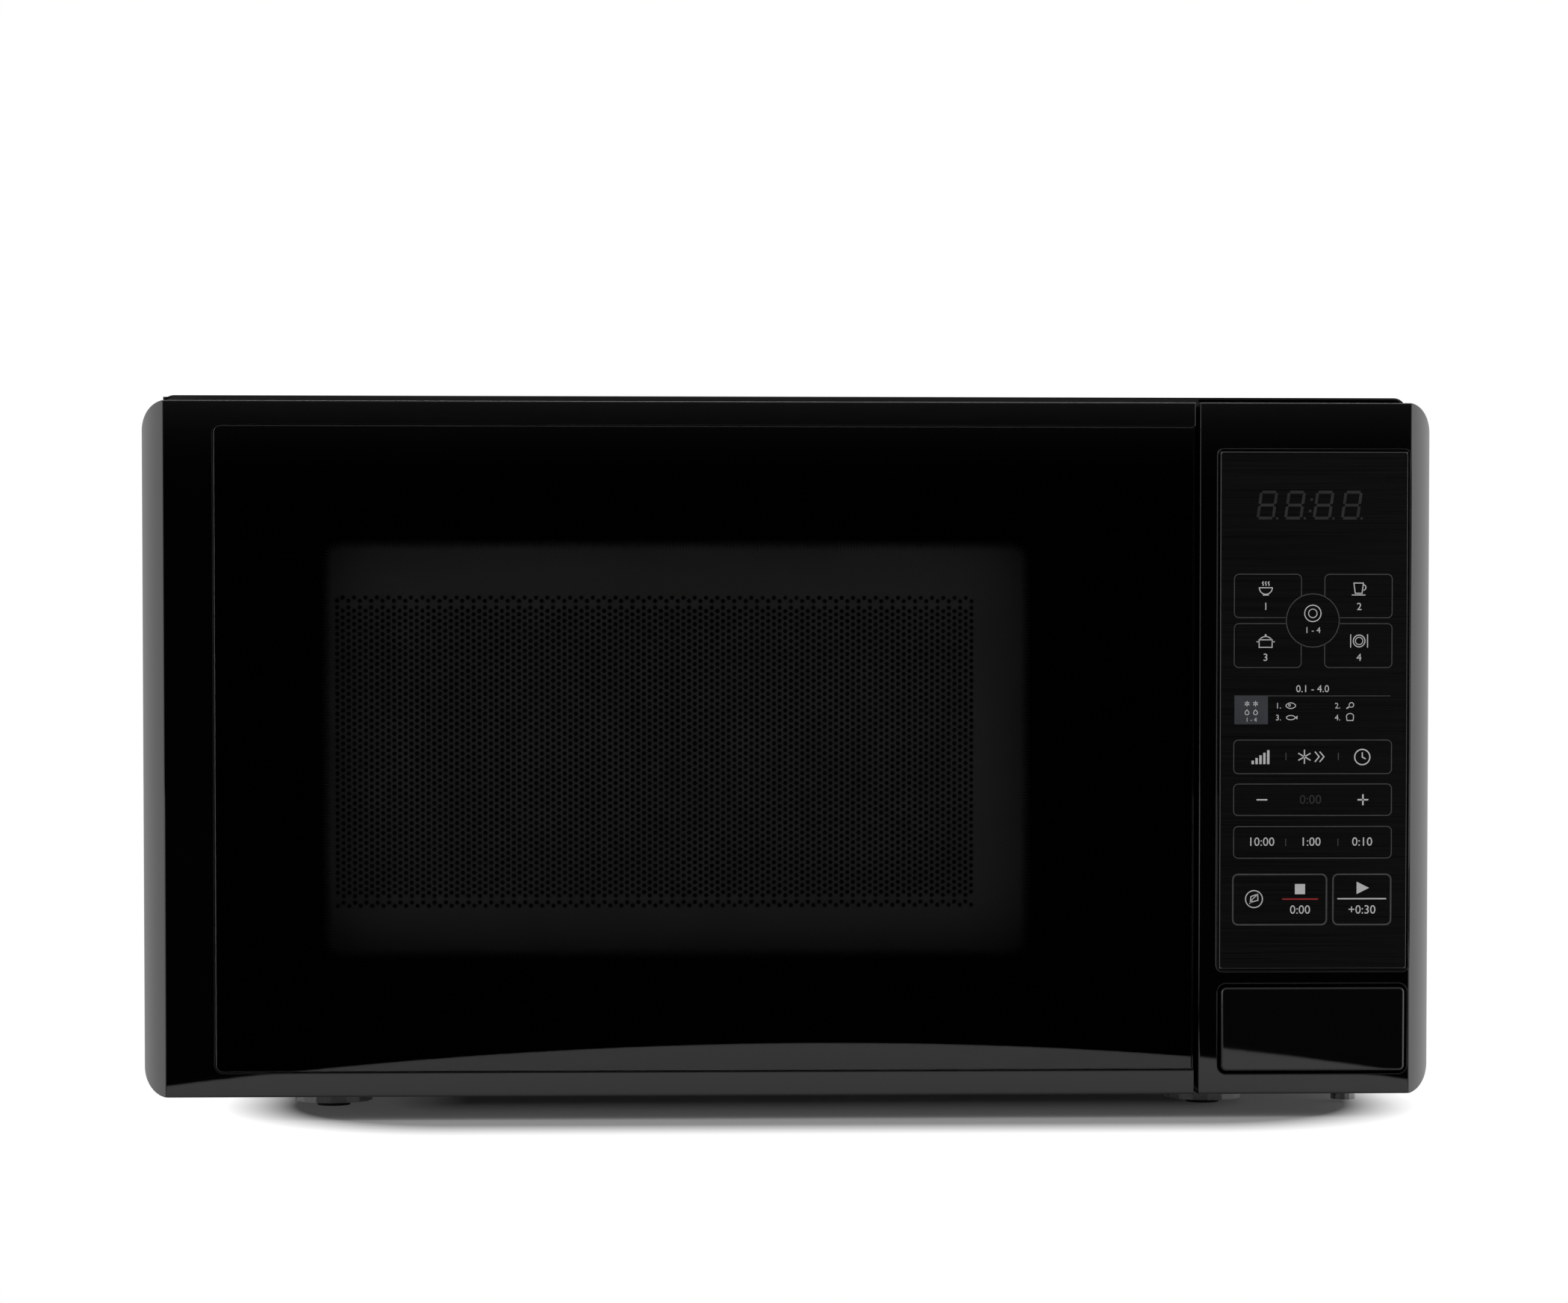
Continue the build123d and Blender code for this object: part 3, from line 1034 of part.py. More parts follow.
# Glass tray: a turned dish with a flared rim and three lugs that catch the coupler's arms
with BuildPart() as glass_tray:
    with BuildSketch(upright(TURN_X, TURN_Y, TRAY_LOW)):
        with BuildLine():
            Polyline((0, 0), (TRAY_RADIUS - TRAY_FLARE, 0), (TRAY_RADIUS, TRAY_RIM),
                     (TRAY_RADIUS - TRAY_LIP, TRAY_RIM), (TRAY_RADIUS - TRAY_FLARE - 1, TRAY_THICKNESS),
                     (0, TRAY_THICKNESS), close=True)
        make_face()
    revolve(axis=Axis((TURN_X, TURN_Y, 0), (0, 0, 1)))
    with BuildSketch(level(TRAY_LOW)):
        with Locations((TURN_X, TURN_Y)):
            with PolarLocations(LUG_ORBIT, 3, start_angle=60):
                Rectangle(LUG_SIZE, LUG_SIZE)
    extrude(amount=-LUG_DROP)

# Roller ring with its three stub axles, and the rollers
RING_LOW = ROLLER_Z - RING_HEIGHT / 2
with BuildPart() as roller_ring:
    with BuildSketch(level(RING_LOW)):
        with Locations((TURN_X, TURN_Y)):
            Circle(RING_OUTER)
            Circle(RING_INNER, mode=Mode.SUBTRACT)
    extrude(amount=RING_HEIGHT)
    for angle in ROLLER_ANGLES:
        outward = Vector(cos(radians(angle)), sin(radians(angle)), 0)
        middle = Vector(TURN_X, TURN_Y, ROLLER_Z)
        with BuildSketch(Plane(origin=middle + outward * (RING_OUTER - 1), z_dir=outward)):
            Circle(ROLLER_AXLE)
        extrude(amount=ROLLER_ORBIT + ROLLER_WIDTH + 2 - RING_OUTER)
        head_start = ROLLER_ORBIT + ROLLER_WIDTH + AXLE_HEAD_GAP
        with BuildSketch(Plane(origin=middle + outward * head_start, z_dir=outward)):
            RegularPolygon(AXLE_HEAD[0], 6)
        extrude(amount=AXLE_HEAD[1])

rollers = []
for angle in ROLLER_ANGLES:
    outward = Vector(cos(radians(angle)), sin(radians(angle)), 0)
    middle = Vector(TURN_X, TURN_Y, ROLLER_Z)
    with BuildPart() as roller:
        with BuildSketch(Plane(origin=middle + outward * ROLLER_ORBIT, z_dir=outward)):
            Circle(ROLLER_RADIUS)
            RegularPolygon(ROLLER_AXLE + ROLLER_FIT, HIDDEN_SIDES, major_radius=False, mode=Mode.SUBTRACT)
        extrude(amount=ROLLER_WIDTH)
    rollers.append(roller)

# Oven lamp in its holder, behind the lamp holes
with BuildPart() as lamp_holder:
    with BuildSketch(facing_right(WALL_RIGHT)):
        with Locations(LAMP):
            ring_wall(LAMP_BOX, LAMP_BOX_WALL)
    extrude(amount=LAMP_BOX_DEPTH)
    with BuildSketch(facing_right(WALL_RIGHT + LAMP_BOX_DEPTH)):
        with Locations(LAMP):
            Rectangle(*LAMP_BOX)
    extrude(amount=LAMP_BOX_WALL)

with BuildPart() as oven_lamp:
    for lamp_low, lamp_length, radius in LAMP_STEPS:
        with BuildSketch(facing_right(WALL_RIGHT + lamp_low)):
            with Locations(LAMP):
                hidden_round(radius)
        extrude(amount=lamp_length)

# Thermal cut-outs: one on the yoke, one on the oven's roof
with BuildPart() as thermal_cutouts:
    for seat in ((SEAT_X + CUTOUT_ON_YOKE, MAGNETRON_AXIS[0], MAGNETRON_AXIS[1] + YOKE_SIZE[1] / 2),
                 (CAVITY_RIGHT - CUTOUT_ON_ROOF, MAGNETRON_AXIS[0], CAVITY_TOP + SHEET)):
        with BuildSketch(level(seat[2])):
            with Locations(seat[:2]):
                hidden_round(CUTOUT_RADIUS)
        extrude(amount=CUTOUT_HEIGHT)

# Noise filter board on its posts, near the cord's way in
FILTER_LOW = BASE_TOP + FILTER_LIFT
with BuildPart() as filter_board:
    with BuildSketch(level(FILTER_LOW)):
        with Locations(FILTER_CENTRE):
            Rectangle(*FILTER_SIZE)
    extrude(amount=BOARD_THICKNESS)
    with BuildSketch(level(BASE_TOP)):
        with Locations(FILTER_CENTRE):
            with GridLocations(*[side - 2 * BOARD_POST for side in FILTER_SIZE], 2, 2):
                Rectangle(BOARD_POST, BOARD_POST)
    extrude(amount=FILTER_LIFT)
    with BuildSketch(level(FILTER_LOW + BOARD_THICKNESS)):
        with Locations((FILTER_CENTRE[0] - FILTER_COIL_SHIFT, FILTER_CENTRE[1])):
            hidden_round(FILTER_COIL_RADIUS)
        for shift, size in FILTER_BLOCKS:
            with Locations((FILTER_CENTRE[0] + shift[0], FILTER_CENTRE[1] + shift[1])):
                Rectangle(*size)
    extrude(amount=FILTER_PARTS_HEIGHT)

# Hinges: an angle plate behind the front plate and a riveted pin, above and below
hinge_plates = {}
hinge_pins = {}
for name, tongue_low, flange_low, pin_low, head_low in (
        ("lower", MOULDING_LOW + HINGE_STEP, MOULDING_LOW + HINGE_STEP,
         MOULDING_LOW + HINGE_STEP, MOULDING_LOW + HINGE_STEP - HINGE_HEAD[1]),
        ("upper", MOULDING_HIGH - HINGE_STEP - HINGE_PLATE,
         MOULDING_HIGH - HINGE_STEP - HINGE_FLANGE_HEIGHT,
         MOULDING_HIGH - HINGE_STEP - HINGE_BOSS_HEIGHT + HINGE_PIN_SHORT, MOULDING_HIGH - HINGE_STEP)):
    with BuildPart() as hinge_plate:
        with BuildSketch(level(tongue_low)):
            with Locations((HINGE_X, HINGE_Y)):
                hidden_round(HINGE_TONGUE_WIDTH / 2)
            rectangle_between((HINGE_X - HINGE_TONGUE_WIDTH / 2 + HINGE_TONGUE_STEP, HINGE_Y),
                              (HINGE_X + HINGE_TONGUE_WIDTH / 2, PLATE_BACK + HINGE_PLATE))
            with Locations((HINGE_X, HINGE_Y)):
                Circle(HINGE_PIN_RADIUS, mode=Mode.SUBTRACT)
        extrude(amount=HINGE_PLATE)
        with BuildSketch(facing_front(PLATE_BACK + HINGE_PLATE)):
            rectangle_between((HINGE_X - HINGE_TONGUE_WIDTH / 2 + HINGE_TONGUE_STEP, flange_low),
                              (HINGE_X - HINGE_TONGUE_WIDTH / 2 + HINGE_FLANGE_WIDTH,
                               flange_low + HINGE_FLANGE_HEIGHT))
        extrude(amount=HINGE_PLATE)
    hinge_plates[name] = hinge_plate
    with BuildPart() as hinge_pin:
        with BuildSketch(level(pin_low)):
            with Locations((HINGE_X, HINGE_Y)):
                Circle(HINGE_PIN_RADIUS)
        extrude(amount=HINGE_BOSS_HEIGHT - HINGE_PIN_SHORT)
        with BuildSketch(level(head_low)):
            with Locations((HINGE_X, HINGE_Y)):
                hidden_round(HINGE_HEAD[0])
        extrude(amount=HINGE_HEAD[1])
    hinge_pins[name] = hinge_pin

# Outer cover: a folded sheet over both sides and the top, with a rear hem and side vents
COVER_BACK = BACK_PLATE_Y + SHEET
with BuildPart() as outer_cover:
    with BuildSketch(facing_front(COVER_BACK)) as cover_profile:
        rectangle_between((-COVER_WIDTH / 2, COVER_LOW), (COVER_WIDTH / 2, HEIGHT))
        fillet(cover_profile.vertices().group_by(Axis.Y)[-1], COVER_CORNER)
        with BuildSketch(mode=Mode.SUBTRACT) as cover_inside:
            rectangle_between((-COVER_INNER, COVER_LOW - 1), (COVER_INNER, HEIGHT - COVER_SHEET))
            fillet(cover_inside.vertices().group_by(Axis.Y)[-1], COVER_CORNER - COVER_SHEET)
    extrude(amount=COVER_BACK - PLATE_FRONT)
    with BuildSketch(facing_front(COVER_BACK + COVER_SHEET)) as hem:
        rectangle_between((-COVER_WIDTH / 2, COVER_LOW), (COVER_WIDTH / 2, HEIGHT))
        fillet(hem.vertices().group_by(Axis.Y)[-1], COVER_CORNER)
        rectangle_between((COVER_HEM - COVER_WIDTH / 2, COVER_LOW - 1),
                          (COVER_WIDTH / 2 - COVER_HEM, HEIGHT - COVER_HEM), mode=Mode.SUBTRACT)
    extrude(amount=COVER_SHEET)
    with BuildSketch(facing_right(COVER_INNER - 1)):
        with Locations(*COVER_RIGHT_VENTS):
            with GridLocations(*COVER_VENT_GRID):
                Rectangle(*COVER_VENT)
    extrude(amount=4, mode=Mode.SUBTRACT)
    with BuildSketch(facing_right(-COVER_INNER - 3)):
        with Locations(COVER_LEFT_VENTS):
            with GridLocations(*COVER_VENT_GRID):
                Rectangle(*COVER_VENT)
    extrude(amount=4, mode=Mode.SUBTRACT)

# Base plate: a tray of sheet with drawn bosses for the feet and a drawn dimple
with BuildPart() as base_plate:
    with BuildSketch(level(BASE_LOW)):
        rectangle_between((-COVER_INNER, PLATE_BACK), (COVER_INNER, BACK_PLATE_Y))
    extrude(amount=SHEET)
    flange_front = PLATE_BACK + BASE_FLANGE_START
    for side in (-1, 1):
        with BuildSketch(level(BASE_LOW)):
            with Locations((side * (COVER_INNER - SHEET / 2), (flange_front + BACK_PLATE_Y) / 2)):
                Rectangle(SHEET, BACK_PLATE_Y - flange_front)
        extrude(amount=BASE_FLANGE)
    drawn_places = [(place, FOOT_HEIGHT, BOSS_RADIUS) for place in FOOT_PLACES]
    drawn_places.append((DIMPLE_PLACE, DIMPLE_LOW, DIMPLE_RADIUS))
    for place, boss_low, boss_radius in drawn_places:
        with BuildSketch(level(boss_low)):
            with Locations(place):
                hidden_round(boss_radius)
        extrude(amount=BASE_LOW - boss_low)
        with BuildSketch(level(boss_low + SHEET)):
            with Locations(place):
                hidden_round(boss_radius - SHEET)
        extrude(amount=BASE_LOW - boss_low, mode=Mode.SUBTRACT)
    with BuildSketch(level(BASE_LOW)):
        rectangle_between((-COVER_INNER - 1, PLATE_BACK - 1),
                          (HINGE_X + BASE_NOTCH[0], PLATE_BACK + HINGE_PLATE + BASE_NOTCH[1]))
        with Locations((TURN_X, TURN_Y)):
            with GridLocations(*BASE_VENT_GRID):
                Rectangle(*BASE_VENT)
    extrude(amount=SHEET, mode=Mode.SUBTRACT)

# Feet: rubber pads bonded under the bosses
with BuildPart() as feet:
    with BuildSketch():
        with Locations(*FOOT_PLACES):
            hidden_round(FOOT_RADIUS)
    extrude(amount=FOOT_HEIGHT)

# Back plate: a sheet with a drawn pad, vents for the fan and the hole for the cord
with BuildPart() as back_plate:
    with BuildSketch(facing_front(BACK_PLATE_Y + SHEET)) as back_outline:
        rectangle_between((-COVER_INNER, BASE_LOW), (COVER_INNER, HEIGHT - COVER_SHEET))
        fillet(back_outline.vertices().group_by(Axis.Y)[-1], COVER_CORNER - COVER_SHEET)
    extrude(amount=SHEET)
    with BuildSketch(facing_front(BACK)) as pad:
        with Locations(PAD_CENTRE):
            Rectangle(*PAD_SIZE)
        chamfer(pad.vertices(), PAD_CORNER)
    extrude(amount=BACK - BACK_PLATE_Y - SHEET)
    with BuildSketch(facing_front(BACK - SHEET)) as pad_inside:
        with Locations(PAD_CENTRE):
            Rectangle(*[side - 2 * SHEET for side in PAD_SIZE])
        chamfer(pad_inside.vertices(), PAD_CORNER)
    extrude(amount=BACK - BACK_PLATE_Y - SHEET, mode=Mode.SUBTRACT)
    with BuildSketch(facing_front(BACK_PLATE_Y + SHEET)):
        with Locations(FAN_CENTRE):
            with GridLocations(*BACK_VENT_GRID):
                Rectangle(*BACK_VENT)
        with Locations(GLAND):
            RegularPolygon(GLAND_RADIUS, GLAND_SIDES)
    extrude(amount=SHEET, mode=Mode.SUBTRACT)

# Cord gland: a grommet with lips on both faces of the back plate
GLAND_BACK = BACK_PLATE_Y + SHEET + GLAND_LIP[1]
with BuildPart() as cord_gland:
    with BuildSketch(facing_front(GLAND_BACK)):
        with Locations(GLAND):
            Rectangle(GLAND_LIP[0], GLAND_LIP[0])
    extrude(amount=GLAND_LIP[1])
    with BuildSketch(facing_front(BACK_PLATE_Y + SHEET)):
        with Locations(GLAND):
            RegularPolygon(GLAND_RADIUS - GLAND_FIT, GLAND_SIDES)
    extrude(amount=SHEET)
    with BuildSketch(facing_front(BACK_PLATE_Y)):
        with Locations(GLAND):
            Rectangle(*GLAND_CATCH[:2])
    extrude(amount=GLAND_CATCH[2])
    with BuildSketch(facing_front(GLAND_BACK)):
        with Locations(GLAND):
            Circle(GLAND_BORE)
    extrude(amount=GLAND_LIP[1] + SHEET + GLAND_CATCH[2], mode=Mode.SUBTRACT)

# Cover screws through the rear hem
with BuildPart() as cover_screws:
    with BuildSketch(facing_front(COVER_BACK + COVER_SHEET + SCREW_SIZE[1])):
        with Locations(*SCREW_PLACES):
            RegularPolygon(SCREW_SIZE[0], SCREW_SIDES)
    extrude(amount=SCREW_SIZE[1])

PIECES = {
    "door_frame": door_frame, "door_glass": door_glass, "choke_frame": choke_frame,
    "door_screen": door_screen, "inner_window": inner_window, "choke_cover": choke_cover,
    "door_latch": door_latch,
    "latch_spring": latch_spring, "latch_guide": latch_guide,
    "control_panel": control_panel, "keypad_film": keypad_film, "keypad_membrane": keypad_membrane,
    "display_module": display_module, "control_board": control_board, "board_components": board_components,
    "release_button": release_button, "release_lever": release_lever, "lever_spring": lever_spring,
    "latch_board": latch_board, "door_switches": door_switches,
    "front_plate": front_plate, "oven_cavity": oven_cavity,
    "waveguide": waveguide, "waveguide_cover": waveguide_cover,
    "magnetron_core": magnetron_core, "magnetron_fins": magnetron_fins, "magnetron_yoke": magnetron_yoke,
    "magnetron_filter_box": magnetron_filter_box,
    "transformer_core": transformer_core, "transformer_windings": transformer_windings,
    "capacitor": capacitor, "capacitor_clamp": capacitor_clamp, "high_voltage_diode": high_voltage_diode,
    "fan_shroud": fan_shroud, "fan_motor": fan_motor, "fan_shaft": fan_shaft, "fan_blade": fan_blade,
    "turntable_motor": turntable_motor, "drive_shaft": drive_shaft, "turntable_coupler": turntable_coupler,
    "glass_tray": glass_tray, "roller_ring": roller_ring,
    "lamp_holder": lamp_holder, "oven_lamp": oven_lamp, "thermal_cutouts": thermal_cutouts,
    "filter_board": filter_board,
    "outer_cover": outer_cover, "base_plate": base_plate, "feet": feet, "back_plate": back_plate,
    "cord_gland": cord_gland, "cover_screws": cover_screws,
}
for number, roller in enumerate(rollers, start=1):
    PIECES[f"roller_{number}"] = roller
for name in hinge_plates:
    PIECES[f"{name}_hinge_plate"] = hinge_plates[name]
    PIECES[f"{name}_hinge_pin"] = hinge_pins[name]

os.makedirs("parts", exist_ok=True)
for name, piece in PIECES.items():
    piece.part.label = name
    export_step(piece.part, f"parts/{name}.step")
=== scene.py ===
# %% [markdown]
# # A black microwave oven, dressed in Blender
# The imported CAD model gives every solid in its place, in metres, with the joints that
# move it. It stays as it is. This lesson adds what solids alone can't show: the camera and
# the light of the photograph, the finishes, the ink behind the door glass, the holes of the
# door screen and the print on the keys.

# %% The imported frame
import math

import bmesh
import bpy
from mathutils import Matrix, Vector


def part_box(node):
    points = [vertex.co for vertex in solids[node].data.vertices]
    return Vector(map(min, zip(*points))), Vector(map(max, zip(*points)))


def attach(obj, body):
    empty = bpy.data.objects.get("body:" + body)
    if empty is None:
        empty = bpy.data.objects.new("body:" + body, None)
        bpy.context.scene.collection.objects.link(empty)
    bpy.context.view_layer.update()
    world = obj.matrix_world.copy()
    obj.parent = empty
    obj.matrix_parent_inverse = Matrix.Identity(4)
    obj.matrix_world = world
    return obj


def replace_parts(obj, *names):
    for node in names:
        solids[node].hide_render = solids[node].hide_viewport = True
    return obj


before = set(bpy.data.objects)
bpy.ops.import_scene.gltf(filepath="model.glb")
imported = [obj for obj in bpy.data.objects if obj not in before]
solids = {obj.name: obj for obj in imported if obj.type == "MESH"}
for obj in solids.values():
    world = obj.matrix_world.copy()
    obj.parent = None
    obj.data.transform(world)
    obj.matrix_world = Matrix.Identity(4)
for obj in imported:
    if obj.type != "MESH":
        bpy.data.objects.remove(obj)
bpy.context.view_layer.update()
scene = bpy.context.scene
MM = 0.001
MICRON = 0.001 * MM

# %% [markdown]
# ## The camera
# The photograph was taken from about 1.4 m in front of the door, a little to the left of
# its middle and a little above it, with a long lens. Corners of the front, the key film
# and the feet were matched to the photograph to find the place. The picture was cropped
# off centre, which the lens shift puts back.

# %% The photograph's camera
PHOTO_WIDTH, PHOTO_HEIGHT = 2100, 1745
FOCAL_PIXELS = 5346.5
AXIS_ROW = 1081.9
lens = bpy.data.cameras.new("photo_lens")
lens.sensor_fit = "HORIZONTAL"
lens.sensor_width = 36.0
lens.lens = lens.sensor_width * FOCAL_PIXELS / PHOTO_WIDTH
lens.shift_y = (AXIS_ROW - PHOTO_HEIGHT / 2) / PHOTO_WIDTH
lens.clip_start, lens.clip_end = 0.05, 50.0
camera = bpy.data.objects.new("photo_camera", lens)
camera.location = (-0.05199, -1.5665, 0.15284)
camera.rotation_euler = (math.pi / 2 - 0.0308, 0.0, -0.03549)
scene.collection.objects.link(camera)
scene.camera = camera
scene.view_settings.view_transform = "Standard"
print("lens", round(lens.lens, 1), "mm, shift", round(lens.shift_y, 4))

# %% [markdown]
# ## Small helpers for shader nodes
# A finish is a graph of nodes. Short helpers keep each finish readable: they add a node
# with its settings, do a step of arithmetic, sample a noise in the object's own metres,
# stretch a value to a range, and turn a value into a colour.

# %% Node helpers
def add_node(tree, kind, inputs=None, **settings):
    """Adds a shader node. An input is a plain value, or the socket it is linked to."""
    made = tree.nodes.new("ShaderNode" + kind)
    for name, value in settings.items():
        setattr(made, name, value)
    for name, value in (inputs or {}).items():
        if isinstance(value, bpy.types.NodeSocket):
            tree.links.new(value, made.inputs[name])
        else:
            made.inputs[name].default_value = value
    return made


def calc(tree, operation, *values):
    """One step of arithmetic on numbers or sockets."""
    return add_node(tree, "Math", dict(enumerate(values)), operation=operation).outputs[0]


def calc_vector(tree, operation, *values, result="Vector"):
    """The same for vectors. A length or a dot product is the result Value."""
    made = add_node(tree, "VectorMath", dict(enumerate(values)), operation=operation)
    return made.outputs[result]


def place(tree, stretch=(1, 1, 1)):
    """The object's own coordinates in metres, stretched for a grain that runs one way."""
    where = add_node(tree, "TexCoord").outputs["Object"]
    if stretch == (1, 1, 1):
        return where
    return add_node(tree, "Mapping", {"Vector": where, "Scale": stretch}).outputs["Vector"]


def noise(tree, per_metre, detail=3.0, stretch=(1, 1, 1)):
    """Cloudy noise from 0 to 1, with about that many patches to a metre."""
    settings = {"Vector": place(tree, stretch), "Scale": per_metre, "Detail": detail}
    return add_node(tree, "TexNoise", settings).outputs["Fac"]


def spread(tree, value, low, high, start=0.3, end=0.7):
    """Maps value from start..end to low..high, and holds it there."""
    given, wanted = {"From Min": start, "From Max": end}, {"To Min": low, "To Max": high}
    return add_node(tree, "MapRange", {"Value": value, **given, **wanted}).outputs["Result"]


def ramp(tree, value, *stops):
    """Turns a value into a colour through (position, colour) stops."""
    made = add_node(tree, "ValToRGB", {"Fac": value})
    points = made.color_ramp.elements
    while len(points) < len(stops):
        points.new(1.0)
    for point, (position, colour) in zip(points, stops):
        point.position = position
        point.color = (*colour, 1.0)
    return made.outputs["Color"]


def grey(level):
    return (level, level, level)


print("node helpers ready")

# %% [markdown]
# ## The table
# The oven stands on a pale table. Its gloss front shows the near part of the table as a
# grey arch along the bottom, dark past it and white at both sides. To the camera the
# floor is white, apart from a painted shadow round the oven: grey paint shaped like the
# oven's shadow, which takes the real shadow too, with a faint painted light under the
# oven. One plain paint can't be all of these, so Light Path tells the camera's view of
# the table from what the gloss and the glass see.

# %% The table
TABLE_REACH = 4.0
ARCH_MIDDLE, ARCH_TURN, ARCH_RADII = (-0.0461, 0.3, 0.0), 0.1206, (0.3793, 0.7731, 1.0)
ARCH_LEVEL, ARCH_LEVEL_SOFT = 0.74, 0.25
SIDE_LEVEL, DARK_LEVEL = 1.4, 0.0032
SIDE_SLOPE, SIDE_RISE = 0.3, {"start": 0.18, "end": 0.24}
SHADOW_MIDDLE, SHADOW_HALF, SHADOW_STRETCH = (0.0135, 0, 0), (0.13, 0.105, 0), (1.25, 1, 0)
# Painted shadow: grey paint round the oven, shaped to its shadow, with a faint painted light under
# the oven; past the rim the floor is white.
PAINTED_SHADOW_GREY = 0.46
PAINTED_LIGHT_UNDER_OVEN = {"low": 0.006, "high": 0.045, "start": 0.0, "end": 0.035}
SHADOW_RIM = {"low": 0.0, "high": 1.0, "start": 0.077, "end": 0.11}


def white_light(tree, strength):
    return add_node(tree, "Emission", {"Color": (1, 1, 1, 1), "Strength": strength}).outputs[0]


def matt(tree, colour):
    return add_node(tree, "BsdfDiffuse", {"Color": colour}).outputs[0]


def mix_shaders(tree, factor, first, second):
    return add_node(tree, "MixShader", {0: factor, 1: first, 2: second}).outputs[0]


def soft_through_glass(tree, rays):
    """1 for light that falls through glass on a matt surface, 0 for what a mirror shows."""
    scattered = spread(tree, rays["Diffuse Depth"], 0.0, 1.0, 0.0, 1.0)
    return calc(tree, "MULTIPLY", scattered, rays["Is Transmission Ray"])


def camera_floor(tree, where):
    """White, apart from a painted shadow: grey paint round the oven that takes its real shadow too,
    with a faint painted light under the oven.
    """
    from_middle = calc_vector(tree, "SUBTRACT", where, SHADOW_MIDDLE)
    either_way = calc_vector(tree, "ABSOLUTE", from_middle)
    past_edge = calc_vector(tree, "SUBTRACT", either_way, SHADOW_HALF)
    past_edge = calc_vector(tree, "MAXIMUM", past_edge, (0, 0, 0))
    past_edge = calc_vector(tree, "MULTIPLY", past_edge, SHADOW_STRETCH)
    away = calc_vector(tree, "LENGTH", past_edge, result="Value")
    # The first factor is a faint painted light under the oven; the second turns the painted shadow
    # white past its rim.
    core, rim = spread(tree, away, **PAINTED_LIGHT_UNDER_OVEN), spread(tree, away, **SHADOW_RIM)
    painted_shadow = matt(tree, (*grey(PAINTED_SHADOW_GREY), 1.0))
    return mix_shaders(tree, calc(tree, "ADD", core, rim), painted_shadow, white_light(tree, 1.0))


def mirrored_floor(tree, where, rays, paint):
    """The table as the oven sees it: an arch in front, dark past it, white at the sides."""
    level = spread(tree, rays["Is Glossy Ray"], ARCH_LEVEL_SOFT, ARCH_LEVEL, 0.0, 1.0)
    settings = {"Vector": where, "Location": ARCH_MIDDLE,
                "Rotation": (0, 0, ARCH_TURN), "Scale": ARCH_RADII}
    oval = add_node(tree, "Mapping", settings, vector_type="TEXTURE").outputs["Vector"]
    reach = calc_vector(tree, "LENGTH", oval, result="Value")
    on_arch = spread(tree, reach, 1.0, 0.0, 0.99, 1.0)
    floor = mix_shaders(tree, on_arch, white_light(tree, DARK_LEVEL), matt(tree, level))
    across = add_node(tree, "SeparateXYZ", {0: where}).outputs
    aside = calc(tree, "ABSOLUTE", across["X"])
    wide = calc(tree, "MULTIPLY_ADD", across["Y"], SIDE_SLOPE, aside)
    sides = mix_shaders(tree, rays["Is Glossy Ray"], paint, white_light(tree, SIDE_LEVEL))
    floor = mix_shaders(tree, spread(tree, wide, 0.0, 1.0, **SIDE_RISE), floor, sides)
    return mix_shaders(tree, soft_through_glass(tree, rays), floor, paint)


def add_table():
    mesh = bpy.data.meshes.new("table")
    corners = ((-1, -1), (1, -1), (1, 1), (-1, 1))
    mesh.from_pydata([(x * TABLE_REACH, y * TABLE_REACH, 0) for x, y in corners], [], [(0, 1, 2, 3)])
    table = bpy.data.objects.new("table", mesh)
    scene.collection.objects.link(table)
    finish = bpy.data.materials.new("pale_table")
    finish.use_nodes = True
    finish.cycles.emission_sampling = "NONE"
    tree = finish.node_tree
    tree.nodes.remove(tree.nodes["Principled BSDF"])
    rays = add_node(tree, "LightPath").outputs
    where = place(tree)
    paint = matt(tree, ramp(tree, noise(tree, 40), (0.3, grey(0.88)), (0.7, grey(0.9))))
    mirrored = mirrored_floor(tree, where, rays, paint)
    both = mix_shaders(tree, rays["Is Camera Ray"], mirrored, camera_floor(tree, where))
    tree.links.new(both, tree.nodes["Material Output"].inputs["Surface"])
    mesh.materials.append(finish)
    return table


table = add_table()
print("table", table.dimensions[:2])

# %% [markdown]
# ## The room
# Gloss black has little colour of its own, so its look comes from what stands round it: a
# dark front with a glow over it, white sides, a grey ceiling and a wall behind. A few ramps
# over the direction make that room. To the camera it is white, and on matt surfaces it is
# a soft light at a plain level, at which a colour renders about as it is written.

# %% The room
ROOM_FRONT, ROOM_WHITE, THROUGH_GLASS = 0.3, 1.0, 0.2
MIRRORED_FRONT, MIRRORED_SIDES, MIRRORED_CEILING, MIRRORED_WALL = 0.0016, 1.4, 0.3, 0.1
MIRRORED_GLOW, GLOW_POWER = 0.145, 4.0
FRONT_TO_SIDES = {"start": -0.95, "end": -0.42}
CEILING_RISE = {"start": 0.45, "end": 0.7}
GLOW_RISE = {"start": 0.04, "end": 0.0735}
WALL_RISE = {"start": 0.3, "end": 0.6}


def mix_colours(tree, factor, first, second):
    made = add_node(tree, "Mix", data_type="RGBA")
    tree.links.new(factor, made.inputs[0])
    for socket, colour in ((made.inputs[6], first), (made.inputs[7], second)):
        if isinstance(colour, bpy.types.NodeSocket):
            tree.links.new(colour, socket)
        else:
            socket.default_value = (*colour, 1.0)
    return made.outputs[2]


